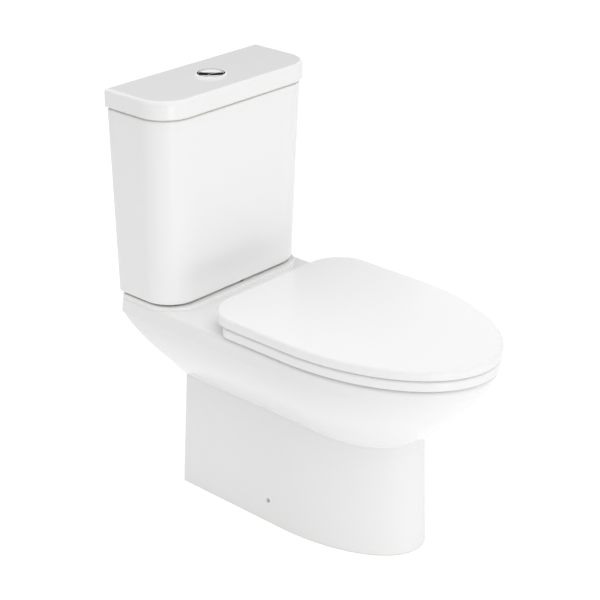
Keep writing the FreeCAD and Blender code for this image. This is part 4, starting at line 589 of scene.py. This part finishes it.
button()
spring("full_flush_spring", "button_spring_full")
spring("half_flush_spring", "button_spring_half")
bolts()
side_screws()
flush_valve()
fill_valve()
SOFT_EDGES = {
    "hinge_posts": 0.9, "hinge_pins": 0.5, "hinge_dampers": 0.5, "hinge_wing_nuts": 0.8,
    "tank_wing_nuts": 0.8, "tank_bolt_plates": 0.4, "tank_bolt_seals": 0.8, "tank_cushions": 1.0,
    "hinge_cones": 0.7, "seat_buffers": 0.6, "cover_buffers": 0.6, "floor_brackets": 0.8,
    "flush_valve_base": 0.5, "flush_valve_head": 0.5, "flush_valve_washer": 0.6, "overflow_tube": 0.4,
    "flush_seal": 0.6, "rocker_full": 0.5, "rocker_half": 0.5, "rocker_pins": 0.4, "button_housing": 0.4,
    "fill_valve_washer": 0.6, "fill_valve_nut": 0.6, "fill_valve_cap": 0.7, "fill_float": 0.7,
    "fill_link_rod": 0.5, "fill_lever": 0.5, "fill_lever_pin": 0.3,
}
for name, width in SOFT_EDGES.items():
    piece(f"{name}_soft", rounded(cad_copy(name), width), name)


# Stage, light and camera
def seen_rays(tree):
    """A socket that is 1 for rays from the camera, from a mirror or through glass."""
    path = tree.nodes.new("ShaderNodeLightPath")
    socket = path.outputs["Is Camera Ray"]
    for ray in ("Is Glossy Ray", "Is Transmission Ray"):
        either = tree.nodes.new("ShaderNodeMath")
        either.operation = "MAXIMUM"
        tree.links.new(socket, either.inputs[0])
        tree.links.new(path.outputs[ray], either.inputs[1])
        socket = either.outputs[0]
    return socket


def world_light(ambient, lift, shade):
    """White to the camera and in mirrors; otherwise broad, stronger from above, weaker from the sides."""
    world = bpy.data.worlds.new("studio")
    scene.world = world
    world.use_nodes = True
    tree = world.node_tree

    def step(operation, *values):
        made = tree.nodes.new("ShaderNodeMath")
        made.operation = operation
        for target, source in zip(made.inputs, values):
            if isinstance(source, float):
                target.default_value = source
            else:
                tree.links.new(source, target)
        return made.outputs[0]

    direction = tree.nodes.new("ShaderNodeSeparateXYZ")
    tree.links.new(tree.nodes.new("ShaderNodeTexCoord").outputs["Generated"], direction.inputs[0])
    sides = step("MULTIPLY", step("ABSOLUTE", direction.outputs["X"]), shade)
    level = step("SUBTRACT", step("MULTIPLY_ADD", direction.outputs["Z"], lift, ambient), sides)
    strength = tree.nodes.new("ShaderNodeMapRange")
    strength.inputs["To Max"].default_value = 1.0
    tree.links.new(step("MAXIMUM", level, 0.0), strength.inputs["To Min"])
    tree.links.new(seen_rays(tree), strength.inputs["Value"])
    tree.links.new(strength.outputs[0], tree.nodes["Background"].inputs["Strength"])
    tree.nodes["Background"].inputs["Color"].default_value = grey(1.0)


def facing(item, place, target):
    """Puts a lamp, sheet or camera at a place, turned to a target."""
    item.location = place
    item.rotation_euler = (Vector(target) - Vector(place)).to_track_quat("-Z", "Y").to_euler()


def fill_light(name, source, strength):
    """A broad, shadowless light from far off."""
    lamp = bpy.data.lights.new(name, "SUN")
    lamp.energy = strength
    lamp.use_shadow = False
    lamp.angle = math.radians(20.0)
    lamp_object = bpy.data.objects.new(name, lamp)
    scene.collection.objects.link(lamp_object)
    facing(lamp_object, source, (0.0, 0.0, 0.0))


def sheet(name, finish_material, width, height):
    """A flat stage sheet."""
    mesh = bpy.data.meshes.new(name)
    bm = bmesh.new()
    bmesh.ops.create_grid(bm, x_segments=1, y_segments=1, size=0.5)
    bmesh.ops.scale(bm, vec=(width, height, 1.0), verts=bm.verts)
    bm.to_mesh(mesh)
    bm.free()
    mesh.materials.append(finish_material)
    item = bpy.data.objects.new(name, mesh)
    scene.collection.objects.link(item)
    return item


def floor(glow, share, upward):
    """A white table, lit from below, that keeps a faint shadow."""
    finish = Finish("pale_floor", Roughness=0.9, Base_Color=grey(0.9), Specular_IOR_Level=0.0)
    light = finish.tree.nodes.new("ShaderNodeEmission")
    light.inputs["Strength"].default_value = glow
    blend = finish.tree.nodes.new("ShaderNodeMixShader")
    seen = Value(finish, seen_rays(finish.tree))
    finish.link(blend.inputs[0], upward + (share - upward) * seen)
    finish.tree.links.new(finish.shader.outputs[0], blend.inputs[1])
    finish.tree.links.new(light.outputs[0], blend.inputs[2])
    finish.tree.links.new(blend.outputs[0], finish.tree.nodes["Material Output"].inputs["Surface"])
    sheet("floor", finish.material, 16.0, 16.0).location.z = -0.6 * MM


def flag(centre, away, distance, width, height):
    """A black card, far off, for the bright metal to mirror."""
    finish = Finish("black_card", Roughness=1.0, Base_Color=grey(0.02), Specular_IOR_Level=0.0)
    card = sheet("black_card", finish.material, width, height)
    facing(card, Vector(centre) + distance * Vector(away).normalized(), centre)


def view_direction(turn, tilt):
    """The way from the object to a viewer, by degrees round from the front and degrees up."""
    turn, tilt = math.radians(turn), math.radians(tilt)
    return Vector((math.sin(turn) * math.cos(tilt), -math.cos(turn) * math.cos(tilt), math.sin(tilt)))


def camera(turn, tilt, distance, lens, target):
    """The photograph's camera."""
    eye = bpy.data.objects.new("camera", bpy.data.cameras.new("camera"))
    eye.data.lens = lens
    eye.data.sensor_width = 36.0
    scene.collection.objects.link(eye)
    facing(eye, Vector(target) + distance * view_direction(turn, tilt), target)
    scene.camera = eye


world_light(ambient=0.58, lift=1.24, shade=0.86)
fill_light("front_fill", source=(-2.0, -4.0, -1.2), strength=0.66)
floor(glow=1.2, share=0.65, upward=0.3)
flag(centre=(0.0, 0.275, 0.787), away=view_direction(135.5, 16.5), distance=6.0, width=2.2, height=1.14)
camera(turn=-47.6, tilt=24.7, distance=3.016, lens=100.2, target=(0.0, 0.0668, 0.4044))
